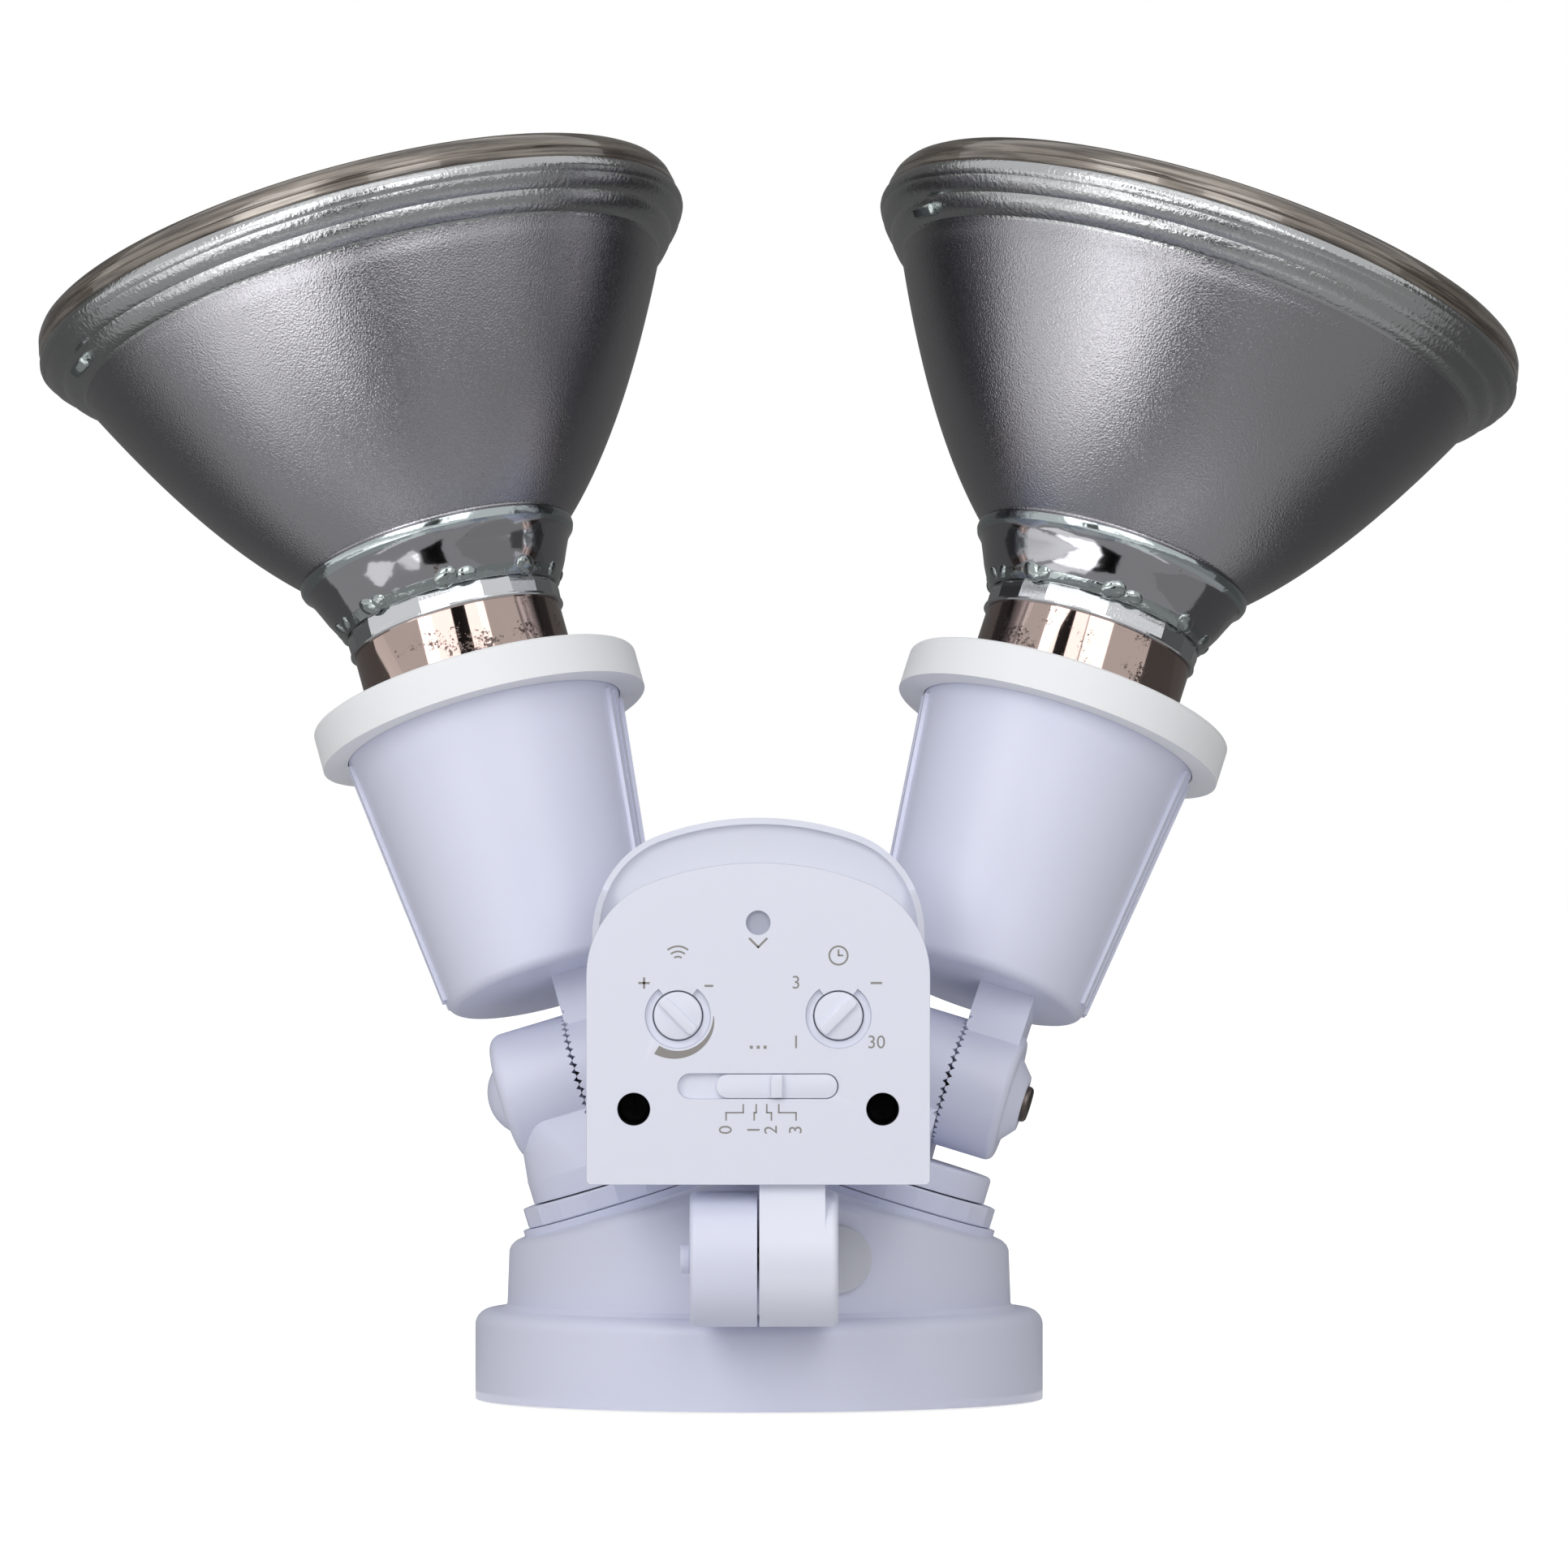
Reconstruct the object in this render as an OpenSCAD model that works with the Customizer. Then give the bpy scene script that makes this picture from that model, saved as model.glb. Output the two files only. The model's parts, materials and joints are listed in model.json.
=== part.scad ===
// Motion sensor security light: two reflector lamps and a sensor head on a round base.
// Millimetres. The wall is the plane z = 0, +Z points away from it, and the sensor side is -Y.

/* [Base] */
// Radius of the base rim
rim_r = 51.2; // [50:0.1:54]
// Height of the rim's edge
rim_h = 16.2; // [14:0.1:17]
// Rounding of the rim's shoulder
rim_round = 3; // [1:0.1:4]
// Radius of the raised tier
tier_r = 45.4; // [44.5:0.1:47]
// Rounding between the tier's side and its roof
edge_round = 2.5; // [1.5:0.1:3.5]
// Height of the roof's ridge
ridge_z = 41.7; // [41:0.1:44]
// Wall of the base cover
base_wall = 2.4; // [1.8:0.1:3]
// Radius of the round seat under each locknut
seat_r = 17; // [16.4:0.1:18]
// Height that the seat stands above the roof
seat_h = 0.8; // [0.4:0.1:1.5]
// Radius of the base plug
plug_r = 6.1; // [4:0.1:6.5]
// Distance of the base plug from the middle
plug_x = 13.9; // [13:0.1:15]
// Height of the base plug
plug_z = 26.7; // [25:0.1:28]

/* [Mounting] */
// Width of the mounting strap
strap_w = 16; // [12:0.5:20]
// Thickness of the mounting strap
strap_t = 1.6; // [1.2:0.1:2.5]
// Spacing of the outer box screw holes
outer_hole_span = 88.9; // [86:0.1:90]
// Spacing of the inner box screw slots
inner_slot_span = 69.85; // [66:0.05:71]
// Length of each inner slot, end to end
inner_slot_length = 9; // [6:0.5:11]
// Radius of the box screw holes
box_hole_r = 2.3; // [2:0.05:2.4]
// Radius of the cover screw's shank
cover_screw_r = 2; // [1.6:0.1:2.4]
// Radius of the cover screw's head
cover_head_r = 4; // [3.5:0.1:5]
// Distance of the ground screw from the middle
ground_x = 16; // [14:0.5:20]
// Radius of the ground screw
ground_screw_r = 1.7; // [1.5:0.1:2]
// Height of the foam wall gasket
wall_gasket_h = 2; // [1:0.1:3]

/* [Arms] */
// Distance of each knuckle from the middle plane
pivot_x = 33.1; // [32.5:0.1:34.5]
// Height of the knuckles above the wall
pivot_z = 57.5; // [57:0.1:59]
// Outward lean of the arms, in degrees
lean = 16.9; // [16:0.1:18]
// Turn of each knuckle on its arm, in degrees
twist = 5; // [0:0.5:8]
// Radius of the knuckles
knuckle_r = 11.7; // [11:0.1:12.2]
// Distance of the toothed split from the arm's axis
split_x = 1.6; // [1:0.1:2]
// Thickness of the arm's half knuckle, left of the arm's axis
ear_out = 13.2; // [12:0.1:14]
// Radius of the round collar
collar_r = 13.7; // [13:0.1:14.5]
// Height of the collar
collar_h = 4.8; // [4:0.1:6]
// Depth of the collar's foot below the knuckle
collar_foot = 19.4; // [19:0.1:21]
// Radius of the threaded stem
stem_r = 10.2; // [9:0.1:10.6]
// Radius of the wire way in the stem
wire_r = 7.5; // [5:0.1:8]
// Radius of the locknut
locknut_r = 16; // [15:0.1:16.3]
// Height of the locknut
locknut_h = 4; // [3:0.1:4.2]
// Number of teeth in each knuckle
teeth = 48; // [36:6:60]
// Depth of the teeth
tooth_h = 0.7; // [0.4:0.1:1]
// Radius of the knuckle bolt
bolt_r = 2.5; // [2:0.1:2.8]
// Radius of the knuckle bolt's head
bolt_head_r = 3.3; // [3:0.1:3.8]
// Width of the knuckle nut over its corners
pivot_nut_w = 9.2; // [8:0.1:9.6]

/* [Lamp holders] */
// Backward lean of the lamps, in degrees
tilt = 13; // [0:0.5:16]
// Offset of the lamp's axis from the arm's axis
lamp_shift = 0.9; // [0:0.1:1.5]
// Distance from the knuckle to the holder's bottom
holder_foot = 17.6; // [17.5:0.1:19]
// Distance from the knuckle to the holder's rim
holder_top = 67; // [66:0.1:70]
// Radius of the holder at its bottom
holder_r0 = 19.6; // [19:0.1:21]
// Radius of the holder at its rim
holder_r1 = 25.2; // [24.5:0.1:26]
// Wall of the holder
holder_wall = 2.2; // [1.6:0.1:2.6]
// Thickness of the holder's half knuckle
holder_ear = 11.2; // [10:0.1:12]
// Height of the cone boss round the bolt's head
cone_h = 2.5; // [2:0.1:3]
// Height of the ridges beside the holder's edges
ridge_h = 0.7; // [0.3:0.1:1]
// Outer radius of the rubber gasket
gasket_r = 30.2; // [28:0.1:32]
// Height of the rubber gasket
gasket_h = 7.4; // [6:0.1:9]
// Outer radius of the ceramic socket
socket_r = 16.8; // [16:0.1:17]
// Height of the ceramic socket
socket_h = 31; // [28:0.5:34]

/* [Bulbs] */
// Radius of the bulb at its front edge
bulb_r = 60.9; // [58:0.1:61.5]
// Distance from the knuckle to the bulb's front edge
bulb_edge = 158.5; // [157:0.1:160]
// Radius of the bulb's metal skirt
skirt_r = 19.3; // [18.5:0.1:19.4]
// Distance from the knuckle to the skirt's top
skirt_top = 85.9; // [85.5:0.1:87]
// Radius of the bulb's screw cap
cap_r = 13.1; // [12.8:0.05:13.2]
// Thickness of the bulb's glass
glass_t = 2.2; // [1.5:0.1:3]
// Rise of the front lens
crown_h = 4.2; // [2:0.1:6]
// Distance from the knuckle to the bottom of the bulb's screw thread
thread_foot = 36; // [35:0.5:37]
// Distance from the knuckle to the halogen capsule's foot
capsule_foot = 98; // [92:0.5:104]
// Radius of the halogen capsule
capsule_r = 6.5; // [5.5:0.1:8]

/* [Sensor hinge] */
// Height of the hinge axis above the wall
hinge_z = 27.5; // [27:0.1:28]
// Distance of the hinge axis in front of the base's tier
hinge_reach = 16.6; // [16.6:0.1:18]
// Radius of the hinge drums
drum_r = 11.9; // [11:0.1:12]
// Left end of the hinge
drum_left = 12; // [11:0.1:13]
// Right end of the hinge
drum_right = 14; // [13:0.1:15]
// Gap between the drums
drum_gap = 0.4; // [0.2:0.1:0.8]
// Radius of the swivel stem
swivel_r = 6.5; // [5:0.1:7]
// Radius of the hinge's clamp screw
hinge_screw_r = 2; // [1.6:0.1:2.4]

/* [Sensor head] */
// Half width of the control panel
panel_half = 30; // [29.6:0.1:31]
// Height of the panel's lower edge
panel_z0 = 40.8; // [40.5:0.1:41]
// Height of the panel's top
panel_z1 = 97; // [96:0.1:99]
// Distance of the panel's face in front of the hinge axis
panel_reach = 10; // [9.8:0.1:11]
// Thickness of the panel
panel_t = 2.4; // [2.2:0.1:3]
// Radius of the panel's top arc
top_arc = 52; // [48:0.5:60]
// Rounding where the sides meet the top arc
side_arc = 17.5; // [14:0.5:18]
// Distance that the hood's sides stand in from the panel's
hood_inset = 0.8; // [0.5:0.1:1.2]
// Height of the hood's top
hood_z1 = 104.7; // [102:0.1:106]
// Depth of the head from the panel's face to the hood's back
head_depth = 43.2; // [42:0.1:44]
// Wall of the sensor housing
shell = 2; // [1.5:0.1:2.5]
// Radius of the setting knobs
knob_r = 4.2; // [3.5:0.1:4.6]
// Distance of the knobs from the middle
knob_x = 14; // [12:0.1:15]
// Height of the knobs
knob_z = 70.3; // [69:0.1:72]
// Length of the slider's slot
slot_length = 28; // [26:0.1:29]
// Height of the slider's slot
slot_h = 4.4; // [4:0.1:5]
// Height of the slot's middle line
slot_z = 58; // [57.5:0.1:59]
// Length of the slider
slider_length = 21.1; // [20:0.1:21.5]
// Travel of the slider
slider_travel = 6; // [4:0.5:6]
// Radius of the screw holes in the panel
screw_hole_r = 2.85; // [2.6:0.05:3.2]
// Distance of the screw holes from the panel's side edges
screw_inset = 8.3; // [8:0.1:9]
// Height of the screw holes
screw_z = 54; // [53:0.1:55]
// Height of the indicator window
window_z = 86.5; // [84:0.1:88]
// Radius of the indicator window
window_r = 2.1; // [1.5:0.1:2.5]

/* [Hidden] */
$fn = 96;
run = 0.05;
slip = 0.1;
far = 200;
eps = 0.01;
seal_t = 0.8;
seal_r = locknut_r - 3;
nut_gap = 0.3;
seat_depth = collar_foot + locknut_h + seal_t;
seat_t = seat_h + 2.2;
hub_depth = seat_depth + 12.5;
hub_r = stem_r + 3.4;
tier_fillet = 0.9;
gasket_outer = rim_r - 1.2;
boss_front = tier_r + 0.9;
boss_r = 10.6;
hub_back = boss_front - 11.8;
flange_t = 3.5;
flange_r = 10.2;
washer_t = 1;
stub_nut_h = 4;
hinge_pocket = 4;
hinge_nut_w = 2 * hinge_screw_r + 3.8;
cover_top = ridge_z - 1.3;
cover_head_h = 2.4;
cavity_r = rim_r - base_wall - 0.2;
gasket_inner = cavity_r - 0.5;
plug_face = tier_r - 1;
plug_t = 1.4;
plug_stem_r = plug_r - 1.5;
strap_end_x = outer_hole_span / 2 - 4.6;
screw_tip = 0.3;
tooth_w = 0.64;
tooth_base = 0.2;
ring_r = 8;
nut_pocket = ear_out - 5;
head_x = split_x + holder_ear + cone_h - 0.5;
bolt_head_h = 1.7;
hinge_y = tier_r + hinge_reach;
panel_y = hinge_y + panel_reach;
panel_back = panel_y - panel_t;
hood_back = panel_y - head_depth;
hood_half = panel_half - hood_inset;
screw_x = panel_half - screw_inset;
hood_in = hood_back + shell + 0.2;
visor_lip = 1.4;
visor_edge = 1.1;
visor_front = hood_in + visor_lip;
floor_z = panel_z0 + 0.8;
flat_floor = 19;
floor_rise = 16;
foot_round = 0.9;
lens_inset = hood_inset + shell + 0.4;
lens_t = 1.2;
lens_foot = panel_z0 + 25;
tube_end = panel_back - 11.1;
board_t = 1.6;
board_back = tube_end - board_t;
tube_floor = 1.5;
slot_depth = 1.2;
panel_lip = 2;
panel_lip_t = 1.4;
panel_lip_h = 18;
slider_x = slot_length / 2 - 0.2;
lever_x = slider_x - slider_length / 2;
slide_cut = slider_travel + 2.4;
detector_w = 22;
detector_t = 1.4;
detector_z = 66;
relay_right = 2.6;
knob_gap = 0.2;
knob_flange = 0.7;
shaft_r = 2;
post_r = 3.8;
panel_screw_r = 1.5;
sheet_t = 0.5;
socket_foot = holder_foot + 2.5;
contact_z = holder_foot + 6.5;
shell_foot = holder_foot + 9;
thread_pitch = 3.6;
turns = 5;
skirt_foot = thread_foot + turns * thread_pitch;
skirt_in = skirt_r - 0.7;
crimp_h = 4.2;
glass_foot = skirt_top + 0.5;
shield_z = 70;
shoulder_w = 5.9;
neck_r = skirt_r + shoulder_w;
neck_h = 15.2;
bowl_foot = glass_foot + neck_h;
flange_w = 7.3;
cup_r = bulb_r - flange_w;
rim_depth = 14.5;
bowl_top = bulb_edge - rim_depth;
lens_rim = 3.6;

// Places

module at_arm(side) {
    translate([side * pivot_x, 0, pivot_z]) rotate([0, side * lean, 0]) rotate([0, 0, -twist]) children();
}

module at_lamp(side) {
    at_arm(side) rotate([-tilt, 0, 0]) children();
}

module at_bulb(side) {
    at_lamp(side) translate([lamp_shift, 0, 0]) children();
}

// Lays a drawing in the XZ plane, extruded from the distance y0 to the distance y1 in front of the axis
module slab(y0, y1) {
    translate([0, -y1, 0]) rotate([90, 0, 0]) mirror([0, 0, 1]) linear_extrude(y1 - y0) children();
}

// Turns a cylinder that stands on z = 0 so that it lies along +X
module along_x(x0) {
    translate([x0, 0, 0]) rotate([0, 90, 0]) children();
}

// Turns a cylinder that stands on z = 0 so that it lies along -Y, from the distance y0
module along_y(x, y0, z) {
    translate([x, -y0, z]) rotate([90, 0, 0]) children();
}

// A cylinder with a rounded top edge
module rounded_cylinder(r, h, edge) {
    rotate_extrude() {
        square([r - edge, h]);
        square([r, h - edge]);
        translate([r - edge, h - edge]) circle(edge, $fn = 48);
    }
}

// Base

module roof_cut(drop) {
    for (side = [-1, 1])
        translate([0, 0, ridge_z - drop]) rotate([0, side * lean, 0])
            translate([-far / 2, -far / 2, 0]) cube([far, far, far / 2]);
}

// The raised tier: balls that touch its side and its roof round the edge between them
module tier_form() {
    side_r = tier_r - 0.3;
    hull() {
        translate([0, 0, rim_h]) cylinder(r = side_r + 0.3, h = 1);
        for (turn = [0:6:354]) {
            x = (side_r - edge_round) * cos(turn);
            translate([x, (side_r - edge_round) * sin(turn), ridge_z - abs(x) * tan(lean) - edge_round / cos(lean)])
                sphere(edge_round, $fn = 16);
        }
    }
}

module base_form() {
    rounded_cylinder(rim_r, rim_h, rim_round);
    rotate_extrude() polygon([[0, 0], [rim_r - rim_round, 0], [rim_r - rim_round, rim_h],
        [tier_r + tier_fillet, rim_h], [tier_r, rim_h + tier_fillet], [0, rim_h + tier_fillet]]);
    tier_form();
}

module base_cavity() {
    translate([0, 0, -eps]) cylinder(r = cavity_r, h = rim_h - base_wall);
    difference() {
        translate([0, 0, -eps]) cylinder(r = tier_r - base_wall, h = ridge_z);
        roof_cut(base_wall / cos(lean));
    }
}

module base_cover() color("white") difference() {
    union() {
        difference() {
            base_form();
            base_cavity();
            translate([0, 0, -1]) difference() {
                cylinder(r = gasket_outer, h = wall_gasket_h + 1);
                cylinder(r = gasket_inner, h = wall_gasket_h + 1);
            }
        }
        for (side = [-1, 1]) at_arm(side) {
            translate([0, 0, -seat_depth - seat_t]) cylinder(r = seat_r, h = seat_t + seal_t - slip);
            translate([0, 0, -hub_depth]) cylinder(r = hub_r, h = hub_depth - seat_depth);
        }
        along_y(0, hub_back, hinge_z) cylinder(r = boss_r, h = boss_front - hub_back);
        cylinder(r = cover_screw_r + 2.6, h = cover_top);
        translate([0, 0, cover_top - 3]) cylinder(r = cover_head_r + 2, h = 3);
    }
    for (side = [-1, 1])
        at_arm(side) {
            translate([0, 0, -hub_depth - 1]) cylinder(r = stem_r + run, h = hub_depth);
            translate([0, 0, -seat_depth]) cylinder(r = seal_r + slip, h = 2 * seal_t);
        }
    along_y(0, hub_back - 1, hinge_z) cylinder(r = swivel_r + run, h = boss_front);
    translate([0, 0, -1]) cylinder(r = cover_screw_r + 0.2, h = ridge_z + 2);
    translate([0, 0, -1]) cylinder(r = cover_screw_r + 3, h = strap_t + 6);
    translate([0, 0, cover_top]) cylinder(r = cover_head_r + 0.2, h = far);
    along_y(plug_x, plug_face - 8, plug_z) cylinder(r = plug_stem_r, h = 9);
    along_y(plug_x, plug_face - plug_t, plug_z) cylinder(r = plug_r, h = far);
}

module base_plug() color("lightgray") {
    along_y(plug_x, plug_face - plug_t, plug_z) cylinder(r = plug_r, h = plug_t);
    along_y(plug_x, plug_face - 6, plug_z) cylinder(r = plug_stem_r, h = 5);
}

module wall_gasket() color("dimgray") difference() {
    cylinder(r = gasket_outer, h = wall_gasket_h);
    translate([0, 0, -1]) cylinder(r = gasket_inner, h = wall_gasket_h + 2);
}

module crossbar() color("silver") {
    nut_h = 1.8;
    difference() {
        linear_extrude(strap_t) difference() {
            union() {
                translate([-strap_end_x, -strap_w / 2]) square([2 * strap_end_x, strap_w]);
                intersection() {
                    for (side = [-1, 1]) translate([side * strap_end_x, 0]) circle(strap_w / 2);
                    circle(gasket_inner - 0.3);
                }
            }
            for (side = [-1, 1]) {
                translate([side * outer_hole_span / 2, 0]) circle(box_hole_r);
                translate([side * inner_slot_span / 2, 0]) {
                    bar = inner_slot_length - 2 * box_hole_r;
                    translate([-bar / 2, -box_hole_r]) square([bar, 2 * box_hole_r]);
                    for (end = [-1, 1]) translate([end * bar / 2, 0]) circle(box_hole_r);
                }
            }
        }
        translate([0, 0, -1]) cylinder(r = cover_screw_r + run, h = strap_t + 2);
        translate([ground_x, 0, -1]) cylinder(r = ground_screw_r + run, h = strap_t + 2);
    }
    difference() {
        translate([0, 0, strap_t]) cylinder(r = cover_screw_r + 1.6, h = nut_h);
        translate([0, 0, strap_t - 1]) cylinder(r = cover_screw_r + run, h = nut_h + 2);
    }
}

module cover_screw() color("silver") {
    slot_w = 1;
    slot_depth = 1.1;
    translate([0, 0, screw_tip]) cylinder(r = cover_screw_r, h = cover_top - screw_tip);
    difference() {
        translate([0, 0, cover_top]) rounded_cylinder(cover_head_r, cover_head_h, cover_head_h / 2);
        translate([-far / 2, -slot_w / 2, cover_top + cover_head_h - slot_depth]) cube([far, slot_w, far]);
    }
}

module ground_screw() color("green") translate([ground_x, 0, 0]) {
    translate([0, 0, strap_t]) cylinder(r = 2.35 * ground_screw_r, h = 2.6, $fn = 6);
    translate([0, 0, screw_tip]) cylinder(r = ground_screw_r, h = strap_t);
}

// Arms

module locknut(side) color("white") at_arm(side) translate([0, 0, -collar_foot - locknut_h]) difference() {
    union() {
        cylinder(r = locknut_r - 0.6, h = locknut_h - nut_gap);
        linear_extrude(locknut_h - nut_gap)
            polygon([for (i = [0:17]) locknut_r * [cos(20 * i), sin(20 * i)]]);
    }
    translate([0, 0, -1]) cylinder(r = stem_r + run, h = locknut_h + 2);
}

module arm_seal(side) color("dimgray") at_arm(side) translate([0, 0, -seat_depth]) difference() {
    cylinder(r = seal_r, h = seal_t);
    translate([0, 0, -1]) cylinder(r = stem_r + run, h = seal_t + 2);
}

// The toothed face of a half knuckle, cut into what stands on the side dir of the split
module tooth_cuts(x, dir) {
    for (i = [0:teeth - 1]) rotate([i * 360 / teeth, 0, 0]) translate([x, 0, ring_r - 1])
        linear_extrude(knuckle_r - ring_r + 3)
            polygon([[-dir * tooth_base, -tooth_w], [-dir * tooth_base, tooth_w], [dir * tooth_h, 0]]);
    along_x(dir > 0 ? x - 1 : x - tooth_h) cylinder(r = ring_r, h = 1 + tooth_h);
}

module arm(side) color("white") at_arm(side) difference() {
    boot_in = 1.5;
    boot_corner = 5;
    cap_r0 = 7.95;
    cap_x = 4.8;
    stem_end = hub_depth + 3;
    union() {
        along_x(split_x - run) mirror([0, 0, 1]) rounded_cylinder(knuckle_r, ear_out + split_x - run, 2.4);
        // Domed cover over the nut
        intersection() {
            translate([cap_x - ear_out, 0, 0]) sphere(cap_r0);
            along_x(-ear_out - cap_r0) cylinder(r = cap_r0 + 1, h = cap_r0 + 2);
        }
        // Boot between the round collar and the flat knuckle
        intersection() {
            hull() {
                translate([0, 0, 0.8 - collar_foot]) cylinder(r = collar_r - 0.02, h = collar_h - 1.6);
                for (dir = [-1, 1], x = [boot_in + boot_corner - ear_out, split_x])
                    translate([x, dir * (knuckle_r - boot_in - boot_corner), -knuckle_r / 2])
                        cylinder(r = boot_corner, h = 1);
            }
            translate([split_x - far - run, -far / 2, -far / 2]) cube([far, far, far]);
        }
        translate([0, 0, -collar_foot]) rounded_cylinder(collar_r, collar_h, 0.8);
        translate([0, 0, -stem_end]) cylinder(r = stem_r, h = stem_end - collar_foot + eps);
    }
    translate([0, 0, -stem_end - 1]) cylinder(r = wire_r, h = stem_end - collar_foot + collar_h);
    tooth_cuts(split_x - run, -1);
    along_x(-nut_pocket - 2) cylinder(r = bolt_r, h = far);
    along_x(-nut_pocket) cylinder(r = pivot_nut_w / 2 + slip, h = far, $fn = 6);
}

module pivot_bolt(side) color("dimgray") at_arm(side) {
    tip = nut_pocket + 1.8;
    cross_l = 4.2;
    cross_w = 0.8;
    along_x(-tip) cylinder(r = bolt_r, h = head_x + tip);
    difference() {
        along_x(head_x) rounded_cylinder(bolt_head_r, bolt_head_h, bolt_head_h / 2);
        for (turn = [20, 110]) along_x(head_x + bolt_head_h / 2) rotate([0, 0, turn])
            translate([-cross_l / 2, -cross_w / 2, 0]) cube([cross_l, cross_w, 2]);
    }
}

module pivot_nut(side) color("silver") at_arm(side) along_x(-nut_pocket) difference() {
    nut_h = 4;
    cylinder(r = pivot_nut_w / 2, h = nut_h, $fn = 6);
    translate([0, 0, -1]) cylinder(r = bolt_r + run, h = nut_h + 2);
}

// Lamp holders

module holder_cone(grow, z0, z1) {
    slope = (holder_r1 - holder_r0) / (holder_top - holder_foot);
    translate([0, 0, z0]) cylinder(r1 = holder_r0 + slope * (z0 - holder_foot) + grow,
        r2 = holder_r0 + slope * (z1 - holder_foot) + grow, h = z1 - z0);
}

module holder(side) color("white") at_lamp(side) difference() {
    edge = 2;
    neck_half = knuckle_r - 3.4;
    rim_lip = 1.6;
    union() {
        translate([lamp_shift, 0, 0]) {
            holder_cone(0, holder_foot + edge, holder_top);
            translate([0, 0, holder_foot]) mirror([0, 0, 1]) translate([0, 0, -edge - 0.1])
                rounded_cylinder(holder_r0 + 0.2, edge + 0.1, edge);
            // Upright ridges beside the left and right edges
            intersection() {
                holder_cone(ridge_h, holder_foot + edge, holder_top - 1);
                for (turn = [0, 180], spread = [-15, -9, 9, 15])
                    rotate([0, 0, turn + spread]) translate([0, -0.6, 0]) cube([far, 1.2, far]);
            }
            translate([0, 0, holder_top - eps]) cylinder(r = holder_r1 + 0.2, h = rim_lip);
        }
        translate([split_x + run, -neck_half, 0]) cube([holder_ear - 1, 2 * neck_half, holder_foot + edge]);
        along_x(split_x + run) rounded_cylinder(knuckle_r, holder_ear, 1.6);
        along_x(split_x + holder_ear - eps) cylinder(r1 = 7.9, r2 = 5, h = cone_h);
    }
    translate([lamp_shift, 0, 0]) {
        holder_cone(-holder_wall, socket_foot, holder_top);
        translate([0, 0, holder_top - eps]) cylinder(r = holder_r1 - holder_wall, h = rim_lip + 2);
    }
    // Wire way from the knuckle into the holder
    translate([7, 0, holder_foot - 6]) cylinder(r = 3.2, h = 12);
    tooth_cuts(split_x + run, 1);
    along_x(0) cylinder(r = bolt_r + run, h = far);
    along_x(head_x) cylinder(r = bolt_head_r + run, h = far);
}

module gasket(side) color("whitesmoke") at_bulb(side) translate([0, 0, holder_top]) difference() {
    rounded_cylinder(gasket_r, gasket_h, 0.9);
    translate([0, 0, -1]) cylinder(r = skirt_r + 0.3, h = gasket_h + 2);
    translate([0, 0, -1]) cylinder(r = holder_r1 + 0.4, h = 2.7);
}

module socket(side) color("white") at_bulb(side) translate([0, 0, socket_foot]) difference() {
    floor_t = 4;
    mouth_h = 3;
    cylinder(r = socket_r, h = socket_h);
    translate([0, 0, floor_t]) cylinder(r = cap_r + 1, h = socket_h);
    translate([0, 0, socket_h - mouth_h]) cylinder(r1 = cap_r + 1, r2 = cap_r + 3.2, h = mouth_h + eps);
}

module screw_shell(side) color("silver") at_bulb(side) translate([0, 0, shell_foot]) difference() {
    shell_h = socket_h - 9;
    cylinder(r = cap_r + 0.4 + sheet_t, h = shell_h);
    translate([0, 0, sheet_t]) cylinder(r = cap_r + 0.4, h = shell_h);
    translate([0, 0, -1]) cylinder(r = 8, h = 3);
}

// A spring leaf that stands on the socket's floor and bends up to the bulb's tip
module centre_contact(side) color("gold") at_bulb(side) translate([0, 2, contact_z]) rotate([90, 0, 0])
    linear_extrude(4) {
        leaf = thread_foot - 5 - contact_z - slip;
        polygon([[-7.5, 0], [2, 0], [5, leaf - 0.7], [-1, leaf], [-1, leaf - sheet_t], [4.2, leaf - 1.1],
            [1.6, sheet_t], [-7.5, sheet_t]]);
    }

// Bulbs

// The rolled thread of the screw cap, as rings
module thread_profile(shift) {
    crest = 0.45;
    steps = 8;
    polygon(concat([[0, thread_foot]],
        [for (i = [0:turns * steps])
            [cap_r - crest + shift + crest * cos(360 * i / steps), thread_foot + i * thread_pitch / steps]],
        [[0, skirt_foot]]));
}

module bulb_cap(side) color("silver") at_bulb(side) rotate_extrude() difference() {
    top = skirt_top + crimp_h;
    wall = 0.7;
    union() {
        thread_profile(0);
        polygon([[0, skirt_foot], [cap_r, skirt_foot], [skirt_r - 0.6, skirt_foot + 3.5],
            [skirt_r, skirt_foot + 4.5], [skirt_r, skirt_top], [skirt_r + 0.7, skirt_top + 0.6],
            [skirt_r + 0.4, top], [0, top]]);
    }
    translate([0, wall]) thread_profile(-wall);
    translate([0, skirt_foot - 0.5]) square([cap_r - 0.9, 2]);
    polygon([[0, skirt_foot + 1], [cap_r - 0.9, skirt_foot + 1], [skirt_in - 0.6, skirt_foot + 4.2],
        [skirt_in, skirt_foot + 5], [skirt_in, top + 1], [0, top + 1]]);
}

module bulb_tip(side) color("dimgray") at_bulb(side) translate([0, 0, thread_foot]) rotate_extrude()
    polygon([[0, -5], [3.6, -4.8], [4.6, -3.6], [5, -2.8], [cap_r - 2.1, -0.6], [cap_r - 2.1, 0], [0, 0]]);

// Bowl of the reflector: a parabola between the neck and the flange
function bowl(t) = [for (i = [0:16]) let (r = neck_r + (cup_r - neck_r) * i / 16)
    [r - t, bowl_foot + (bowl_top - bowl_foot) * (r * r - neck_r * neck_r) / (cup_r * cup_r - neck_r * neck_r)]];

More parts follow.
